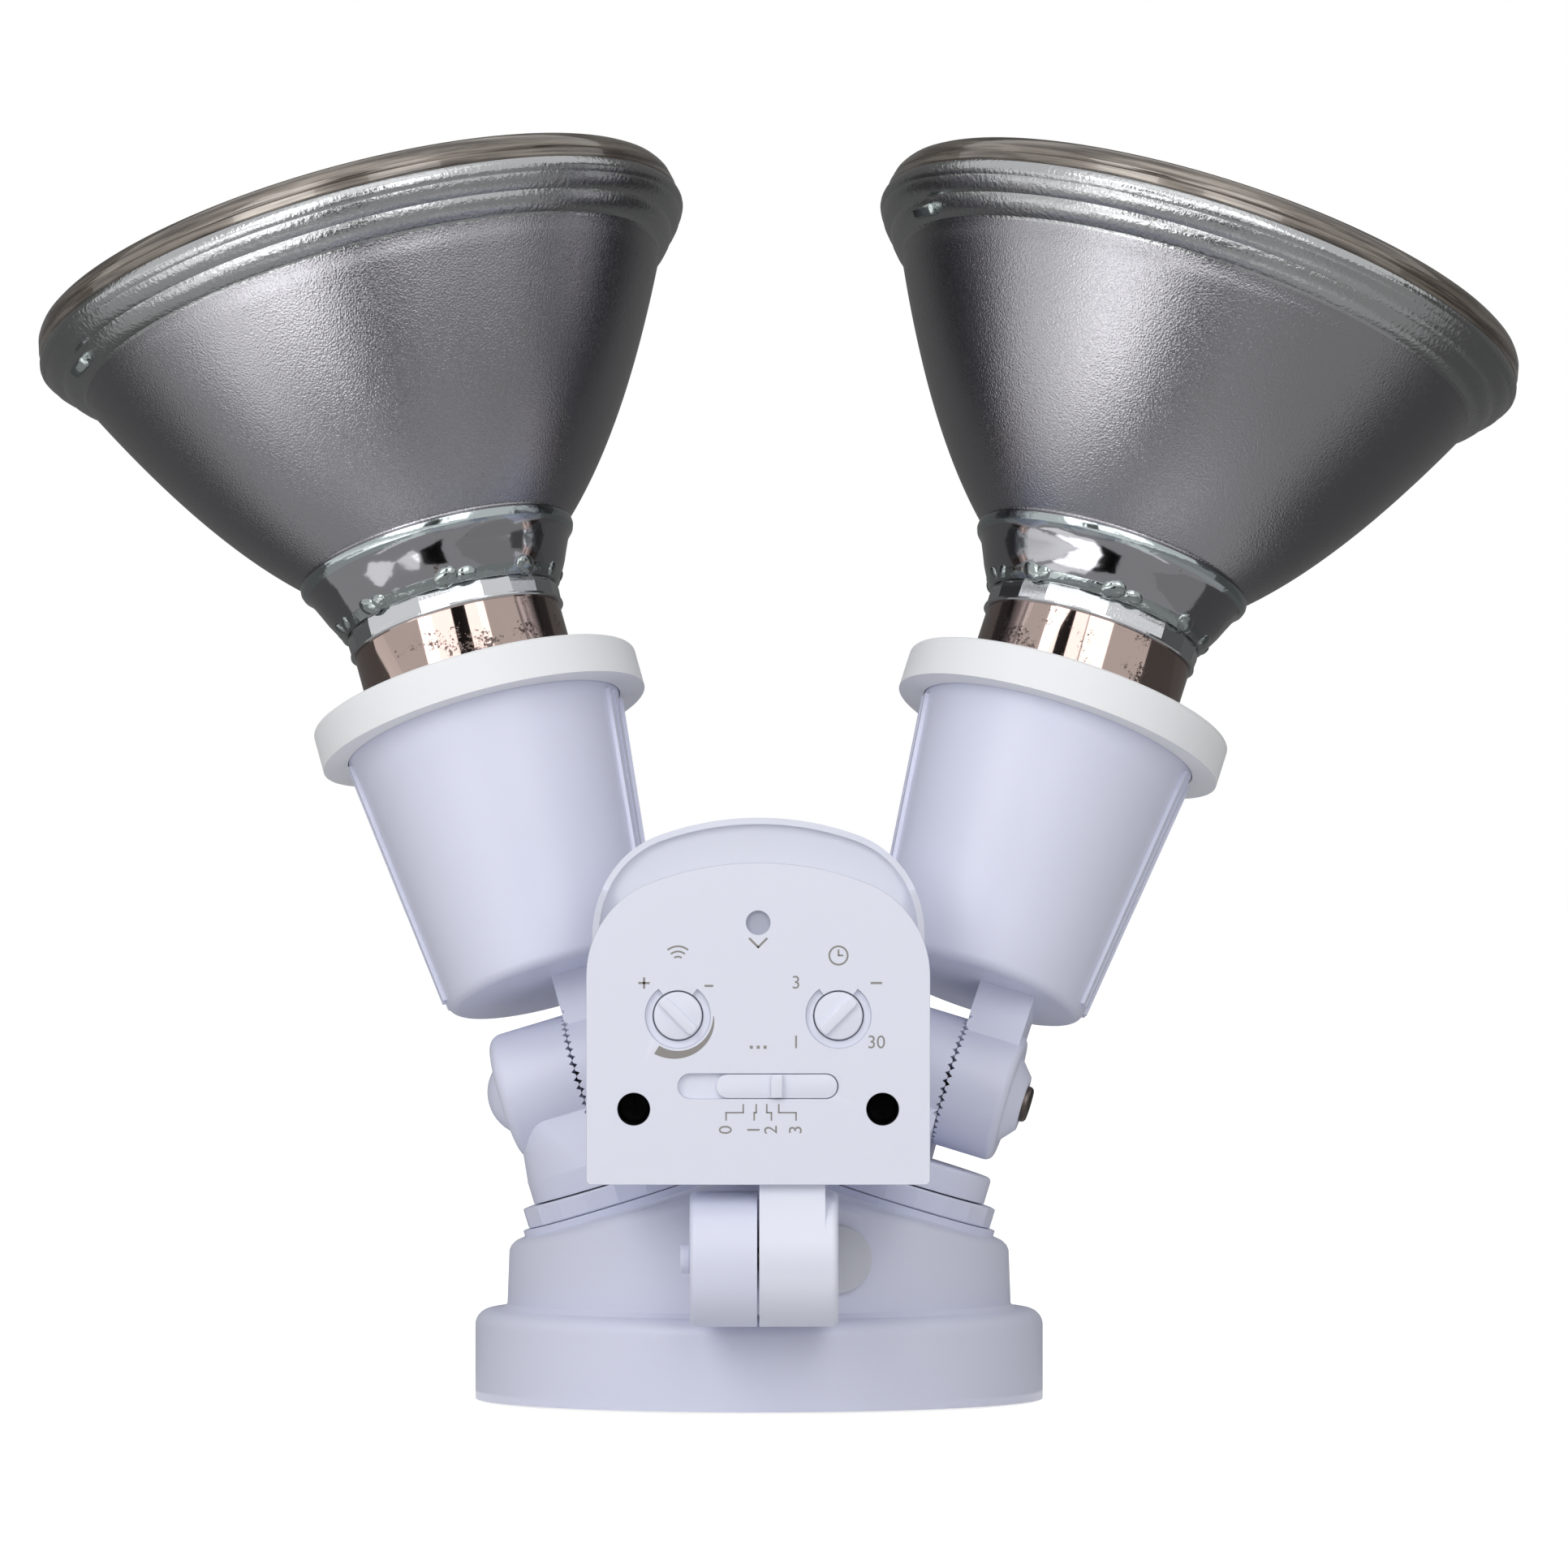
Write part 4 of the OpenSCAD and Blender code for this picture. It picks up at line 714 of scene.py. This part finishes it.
class LIGHT_OT_caps(PieceOperator, Operator):
    """Turns the nickel skirts, gives the crimps uneven flat facets, and adds the glass lumps of the
    necks
    """
    bl_idname = "light.caps"
    bl_label = "Make Caps and Crimps"

    def execute(self, context):
        settings = context.scene.light_bulbs
        for side in SIDES:
            place = bulb_frame(side)
            self.make_skirt(side, place)
            self.make_crimp(side, place, settings)
            self.make_lumps(side, place, settings)
        return {"FINISHED"}

    def make_skirt(self, side, place):
        """The ringed cap that goes into the socket, and the plain skirt over it."""
        pitch, foot, cap, depth, wall = 3.6, 36.0, 13.1, 0.45, 0.7
        thread = [(cap - depth + depth * math.cos(math.tau * i / 10), foot + pitch * i / 10)
                  for i in range(51)]
        outer = [(cap, foot + 18), (18.7, foot + 21.5), (19.1, foot + 22), (19.3, foot + 22.8),
                 (19.3, SKIRT_TOP), (18.6, SKIRT_TOP)]
        inner = [(18.6, foot + 23), (18.0, foot + 22.2), (12.2, foot + 19)]
        inside = [(r - wall, z) for r, z in reversed(thread)]
        bm = spin_profile(thread + outer + inner + inside, steps=96)
        piece = finish_piece(f"skirt_{side}", bm, f"lamp_{side}", MATERIALS["nickel"], place,
                             smooth=28)
        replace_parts(piece, f"bulb_cap_{side}")

    def make_crimp(self, side, place, settings):
        """A thin round lip, and over it a ring of flat faces that aren't quite even."""
        lip = [(18.6, SKIRT_TOP - 0.1), (19.75, SKIRT_TOP - 0.1), (20.0, SKIRT_TOP + 0.15),
               (19.95, SKIRT_TOP + 0.5), (19.6, SKIRT_TOP + 0.65), (18.6, SKIRT_TOP + 0.65)]
        band = [(18.7, SKIRT_TOP + 0.6), (19.85, SKIRT_TOP + 0.6), (19.95, SKIRT_TOP + 2.6),
                (19.7, CRIMP_TOP - 0.15), (19.4, CRIMP_TOP), (18.7, CRIMP_TOP)]
        bm = spin_profile(lip)
        ring = spin_profile(band, steps=settings.facets, start=math.radians(4))
        draw = random.Random(11)
        dent, outer, mean = settings.dent / MM, 19.6, 19.8
        for vert in ring.verts:
            if vert.co.xy.length > outer:
                vert.co.xy *= 1 + draw.uniform(-dent, dent / 3) / mean
        add_mesh(bm, ring)
        finish_piece(f"crimp_{side}", bm, f"lamp_{side}", MATERIALS["crimp"], place,
                     smooth=11)

    def make_lumps(self, side, place, settings):
        """The strip of bare glass over the crimp, with the lumps that the crimp was pressed round."""
        strip = [(20.0, CRIMP_TOP - 0.3), (20.5, CRIMP_TOP + 0.2), (21.0, CRIMP_TOP + 1.0),
                 (21.2, CRIMP_TOP + 1.4), (20.9, CRIMP_TOP + 1.5), (19.6, CRIMP_TOP - 0.3)]
        bm = spin_profile(strip)
        draw, first = random.Random(5), 84
        for i in range(settings.lumps):
            for spread, share in ((0, 1.0), (9, 0.7)):
                turn = draw.uniform(-8, 8) + spread - first
                angle = math.radians(turn) + math.tau * i / settings.lumps
                size = share * draw.uniform(0.75, 1.2)
                seat = Matrix.Rotation(angle, 4, "Z") @ Matrix.Translation((20.7, 0, CRIMP_TOP + 1.0))
                shape = (seat @ Matrix.Rotation(math.radians(draw.uniform(20, 42)), 4, "Y")
                         @ Matrix.Rotation(math.radians(draw.uniform(-35, 35)), 4, "X")
                         @ Matrix.Diagonal((0.85 * size, 2.3 * size, 1.7 * size, 1.0)))
                bmesh.ops.create_icosphere(bm, subdivisions=3, radius=1.0, matrix=shape)
        finish_piece(f"neck_lumps_{side}", bm, f"lamp_{side}", MATERIALS["lump_glass"],
                     place)


# The knobs' distance from the panel's middle, and the width of the legend's bars, in millimetres
KNOB_X = 14.0
MARK = 0.38

# The legend's digits, with their middle in millimetres and their turn in degrees
DIGITS = (("3", 6.6, 76.0, 0), ("1", 6.6, 65.6, 0), ("30", 20.6, 65.6, 0),
          ("0", -5.6, 50.4, 90), ("1", -0.7, 50.4, 90), ("2", 2.3, 50.4, 90), ("3", 6.6, 50.4, 90))


class LIGHT_OT_legend(PieceOperator, Operator):
    """Prints the plain marks and digits on the control panel"""
    bl_idname = "light.legend"
    bl_label = "Print Legend"

    def execute(self, context):
        settings = context.scene.light_legend
        bm = bmesh.new()
        self.add_bar(bm, -19.9, 76.0, 2.0, MARK)
        self.add_bar(bm, -19.9, 76.0, MARK, 2.0)
        self.add_bar(bm, -8.6, 75.5, 1.5, MARK)
        self.add_bar(bm, 20.6, 76.0, 2.0, MARK)
        self.add_wedge(bm)
        self.add_brackets(bm)
        self.add_icons(bm)
        for text, x, z, turn in DIGITS:
            self.add_text(bm, text, x, z, turn, settings.digit_height / MM)
        self.lay_on_panel(bm, settings.ink)
        finish_piece("panel_legend", bm, "sensor_head", MATERIALS["print_grey"])
        return {"FINISHED"}

    def add_bar(self, bm, x, z, width, height, turn=0.0):
        """A flat bar in the panel's plane, in millimetres."""
        place = (Matrix.Translation((x, 0, z)) @ Matrix.Rotation(math.radians(turn), 4, "Y")
                 @ Matrix.Diagonal((width, 1, height, 1)) @ Matrix.Rotation(math.radians(90), 4, "X"))
        bmesh.ops.create_grid(bm, x_segments=1, y_segments=1, size=0.5, matrix=place)

    def add_wedge(self, bm):
        """The arc under the left knob, which grows thicker clockwise."""
        knob = Vector((-KNOB_X, 0, 70.3))
        inner, thin, thick, sweep = 6.15, 0.08, 1.6, math.radians(122)
        start = [bm.verts.new(knob + Vector((r, 0, 0))) for r in (inner, inner + 0.1)]
        edge = bm.edges.new(start)
        before = set(bm.verts)
        bmesh.ops.spin(bm, geom=start + [edge], cent=knob, axis=(0, 1, 0), dvec=(0, 0, 0),
                       angle=sweep, steps=40, use_merge=False, use_duplicate=False)
        arc = [v for v in bm.verts if v not in before] + start
        for vert in arc:
            away = vert.co - knob
            if away.length > inner + 0.05:
                share = math.atan2(-away.z, away.x) / sweep
                vert.co = knob + away.normalized() * (inner + thin + thick * share ** 0.8)

    def add_brackets(self, bm):
        """The four lines from the slot to the digits."""
        line = 0.26
        top, bend, foot = 54.9, 53.4, 52.0
        for slot_x, digit_x in ((-2.6, -5.6), (-0.35, -0.7), (1.5, 2.3), (3.6, 6.6)):
            self.add_bar(bm, slot_x, (top + bend) / 2, line, top - bend)
            self.add_bar(bm, (slot_x + digit_x) / 2, bend, abs(digit_x - slot_x) + line, line)
            self.add_bar(bm, digit_x, (bend + foot) / 2, line, bend - foot)

    def add_icons(self, bm):
        """A pointer under the window, arcs and a dial over the knobs, and dots over the slot."""
        for x in (-1.2, 0.0, 1.2):
            self.add_bar(bm, x, 64.8, 0.55, 0.55)
        for x, z, turn in ((-0.75, 83.0, 45), (0.75, 83.0, -45)):
            self.add_bar(bm, x, z, 2.4, MARK, turn)
        for r in (1.0, 1.9, 2.8):
            self.add_arc(bm, -KNOB_X, 79.6, r, 50, 130)
        self.add_arc(bm, KNOB_X, 80.8, 1.6, 0, 360)
        self.add_bar(bm, KNOB_X, 81.3, 0.3, 1.1)
        self.add_bar(bm, KNOB_X + 0.4, 80.8, 0.9, 0.3)

    def add_arc(self, bm, x, z, radius, start, end):
        """A thin arc in the panel's plane, from one angle to another in degrees."""
        first = math.radians(start)
        centre = Vector((x, 0, z))
        ray = Vector((math.cos(first), 0, math.sin(first)))
        verts = [bm.verts.new(centre + ray * (radius + half)) for half in (-0.16, 0.16)]
        edge = bm.edges.new(verts)
        sweep = end - start
        bmesh.ops.spin(bm, geom=verts + [edge], cent=centre, axis=(0, -1, 0), dvec=(0, 0, 0),
                       angle=math.radians(sweep), steps=max(8, sweep // 8), use_merge=sweep == 360,
                       use_duplicate=False)

    def add_text(self, bm, text, x, z, turn, height):
        """Digits from the built-in font, made a mesh and laid in the panel's plane."""
        size_of_height = 1.4
        curve = bpy.data.curves.new("digits", "FONT")
        curve.body = text
        curve.size = height * size_of_height
        curve.align_x = "CENTER"
        curve.align_y = "CENTER"
        holder = bpy.data.objects.new("digits", curve)
        bpy.context.scene.collection.objects.link(holder)
        bpy.context.view_layer.update()
        mesh = bpy.data.meshes.new_from_object(holder)
        mesh.transform(Matrix.Translation((x, 0, z)) @ Matrix.Rotation(math.radians(-turn), 4, "Y")
                       @ Matrix.Rotation(math.radians(90), 4, "X"))
        bm.from_mesh(mesh)
        bpy.data.objects.remove(holder)
        bpy.data.curves.remove(curve)
        bpy.data.meshes.remove(mesh)

    def lay_on_panel(self, bm, ink):
        """Presses the flat marks onto the panel's face and gives them the ink's thickness."""
        bmesh.ops.triangulate(bm, faces=bm.faces)
        bmesh.ops.transform(bm, matrix=Matrix.Scale(MM, 4), verts=bm.verts)
        panel = bmesh.new()
        panel.from_mesh(frame["nodes"]["sensor_panel"].data)
        face = BVHTree.FromBMesh(panel)
        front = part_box("sensor_panel")[0].y
        before, reach = 10 * MM, 20 * MM
        for vert in bm.verts:
            start = Vector((vert.co.x, front - before, vert.co.z))
            where = face.ray_cast(start, Vector((0, 1, 0)), reach)[0]
            vert.co.y = (where.y if where else front) - ink
        panel.free()
        out = [f for f in bm.faces if f.normal.y > 0]
        bmesh.ops.reverse_faces(bm, faces=out)


# Rectangular lamps: name, place and size in metres, power in watts
LAMPS = (
    ("key", (-0.95, -1.5, 1.0), (0.9, 1.2), 11.5),
    ("fill", (0.5, -1.6, 0.9), (0.8, 1.2), 7.5),
    ("top", (0.0, -0.6, 1.5), (1.4, 0.8), 2.8),
)

# Cards that only the glossy parts mirror: name, two corners in metres, brightness
CARDS = (
    ("card_right", (0.19, 0.0, 0.0), (1.6, 1.4, 0.0), 0.13),
    ("card_back", (-1.6, 0.07, 0.0), (0.19, 1.4, 0.0), 0.15),
    ("wall_back", (-1.6, 0.4, 0.0), (1.6, 0.4, 0.7), 0.15),
    ("wall_right", (1.0, -0.3, 0.0), (1.0, 0.4, 0.5), 0.13),
    ("card_middle", (-0.6, -0.9, 0.0), (0.19, 0.07, 0.0), 0.52),
    ("card_front", (0.19, -0.9, 0.0), (1.6, 0.0, 0.0), 0.42),
    ("panel_side", (-0.45, -0.3, 0.0), (-0.2, -0.1, 0.0), 1.6),
    ("panel_far", (-0.55, -0.75, 0.0), (-0.105, -0.315, 0.0), 3.2),
    ("panel_middle", (-0.45, -0.32, 0.0), (-0.105, -0.25, 0.0), 1.5),
    ("card_black", (-0.09, -0.8, 0.0), (0.045, -0.31, 0.0), 0.0),
    ("panel_near", (-0.15, -0.11, 0.0), (0.13, -0.085, 0.0), 1.2),
    ("strip_left", (-0.2, -0.25, 0.18), (-0.087, -0.25, 0.32), 3.0),
    ("strip_dark", (-0.086, -0.25, 0.18), (-0.012, -0.25, 0.32), 0.02),
    ("strip_right", (-0.011, -0.25, 0.18), (0.06, -0.25, 0.32), 3.0),
)


class LIGHT_OT_studio(PieceOperator, Operator):
    """Sets the floor, the world, the lamps, the cards that glossy parts mirror, and the camera"""
    bl_idname = "light.studio"
    bl_label = "Set Studio"

    def execute(self, context):
        settings = context.scene.light_studio
        self.add_floor(settings)
        self.add_world(settings)
        for lamp in LAMPS:
            self.add_lamp(*lamp)
        for step, card in enumerate(CARDS, 1):
            self.add_card(step, *card)
        self.add_camera(settings)
        context.scene.view_settings.view_transform = "Standard"
        return {"FINISHED"}

    def add_camera(self, settings):
        """A level camera with a long lens, in front of the light."""
        camera = bpy.data.objects.new("camera", bpy.data.cameras.new("camera"))
        camera.location = (settings.sideways, -settings.distance, settings.height)
        camera.rotation_euler = (math.radians(90), 0, 0)
        camera.data.lens = settings.lens
        camera.data.sensor_width = 36.0
        camera.data.clip_end = 50.0
        bpy.context.scene.collection.objects.link(camera)
        bpy.context.scene.camera = camera

    def seen_factor(self, tree):
        """1 for camera, glossy and transmission rays, which see the pale backdrop."""
        rays = add_node(tree, "LightPath")
        first = add_node(tree, "Math", operation="MAXIMUM")
        second = add_node(tree, "Math", operation="MAXIMUM")
        tree.links.new(rays.outputs["Is Camera Ray"], first.inputs[0])
        tree.links.new(rays.outputs["Is Glossy Ray"], first.inputs[1])
        tree.links.new(first.outputs[0], second.inputs[0])
        tree.links.new(rays.outputs["Is Transmission Ray"], second.inputs[1])
        return second.outputs[0]

    def add_floor(self, settings):
        """A wide floor just under the light, as bright as the backdrop where it is seen."""
        under, half = Matrix.Translation((0, 0, -0.4 * MM)), 8.0
        bm = bmesh.new()
        bmesh.ops.create_grid(bm, x_segments=1, y_segments=1, size=half, matrix=under)
        mesh = bpy.data.meshes.new("floor")
        bm.to_mesh(mesh)
        bm.free()
        floor = bpy.data.objects.new("floor", mesh)
        bpy.context.scene.collection.objects.link(floor)
        material, tree, shader = plain_material("Studio Floor", Roughness=0.9, Specular_IOR_Level=0.1)
        shader.inputs["Base Color"].default_value = (0.8, 0.8, 0.8, 1.0)
        shader.inputs["Emission Color"].default_value = (*settings.backdrop, 1.0)
        glow, brightness = add_node(tree, "Math", operation="MULTIPLY"), 0.85
        tree.links.new(self.seen_factor(tree), glow.inputs[0])
        glow.inputs[1].default_value = brightness
        tree.links.new(glow.outputs[0], shader.inputs["Emission Strength"])
        mesh.materials.append(material)

    def add_world(self, settings):
        """A pale backdrop that is dimmer as a light than it looks."""
        world = bpy.data.worlds.new("studio")
        bpy.context.scene.world = world
        world.use_nodes = True
        tree = world.node_tree
        background = tree.nodes["Background"]
        background.inputs["Color"].default_value = (*settings.backdrop, 1.0)
        strength = add_node(tree, "MapRange", To_Min=0.35, To_Max=1.0)
        tree.links.new(self.seen_factor(tree), strength.inputs["Value"])
        tree.links.new(strength.outputs["Result"], background.inputs["Strength"])

    def add_card(self, step, name, low, high, glow):
        """A dark card or a bright panel between two corners, seen only in what is glossy."""
        low, high = Vector(low), Vector(high)
        flat = min(range(3), key=lambda axis: high[axis] - low[axis])
        quarter = math.radians(90)
        turn = (Matrix.Rotation(quarter, 4, "Y"), Matrix.Rotation(quarter, 4, "X"), Matrix())[flat]
        size = high - low
        size[flat] = 1.0
        apart = 0.3 * MM
        lift = Matrix.Translation((low + high) / 2 + Vector((0, 0, step * apart)))
        stretch = Matrix.Diagonal((*size, 1.0))
        bm = bmesh.new()
        bmesh.ops.create_grid(bm, x_segments=1, y_segments=1, size=0.5, matrix=lift @ stretch @ turn)
        mesh = bpy.data.meshes.new(name)
        bm.to_mesh(mesh)
        bm.free()
        card = bpy.data.objects.new(name, mesh)
        bpy.context.scene.collection.objects.link(card)
        mesh.materials.append(plain_material(
            name, Base_Color=(0.0, 0.0, 0.0, 1.0), Specular_IOR_Level=0.0,
            Emission_Color=(1.0, 1.0, 1.0, 1.0), Emission_Strength=glow)[0])
        card.visible_camera = card.visible_diffuse = card.visible_transmission = False
        card.visible_shadow = False

    def add_lamp(self, name, place, size, power):
        """A rectangular lamp, turned to the middle of the light's height."""
        target = Vector((0.0, 0.0, 0.1))
        data = bpy.data.lights.new(name, "AREA")
        data.shape = "RECTANGLE"
        data.size, data.size_y = size
        data.energy = power
        lamp = bpy.data.objects.new(name, data)
        lamp.location = place
        lamp.rotation_euler = (target - Vector(place)).to_track_quat("-Z", "Y").to_euler()
        lamp.visible_camera = False
        bpy.context.scene.collection.objects.link(lamp)


class LIGHT_PT_panel(Panel):
    """Lists the steps that dress the security light"""
    bl_idname = "LIGHT_PT_panel"
    bl_label = "Security Light"
    bl_space_type = "VIEW_3D"
    bl_region_type = "UI"
    bl_category = "Security Light"

    def draw(self, context):
        for group, steps in GROUPS:
            box = self.layout.box()
            for key in getattr(context.scene, group).bl_rna.properties.keys():
                if key not in {"rna_type", "name"}:
                    box.prop(getattr(context.scene, group), key)
            for step in steps:
                box.operator(step.bl_idname)


GROUPS = (
    ("light_mouldings", (LIGHT_OT_mouldings, LIGHT_OT_controls, LIGHT_OT_carried)),
    ("light_bulbs", (LIGHT_OT_reflectors, LIGHT_OT_lenses, LIGHT_OT_caps)),
    ("light_legend", (LIGHT_OT_legend,)),
    ("light_studio", (LIGHT_OT_studio,)),
)
SETTINGS = {"light_mouldings": MouldingSettings, "light_bulbs": BulbSettings,
            "light_legend": LegendSettings, "light_studio": StudioSettings}
CLASSES = (*SETTINGS.values(), *(step for _, steps in GROUPS for step in steps), LIGHT_PT_panel)


def register():
    for each in CLASSES:
        bpy.utils.register_class(each)
    for name, settings in SETTINGS.items():
        setattr(bpy.types.Scene, name, PointerProperty(type=settings))


def unregister():
    for name in SETTINGS:
        delattr(bpy.types.Scene, name)
    for each in reversed(CLASSES):
        bpy.utils.unregister_class(each)


def main():
    register()
    MATERIALS.update(make_materials())
    bpy.ops.light.studio()
    bpy.ops.light.carried()
    bpy.ops.light.mouldings()
    bpy.ops.light.controls()
    bpy.ops.light.reflectors()
    bpy.ops.light.lenses()
    bpy.ops.light.caps()
    bpy.ops.light.legend()


if __name__ == "__main__":
    main()
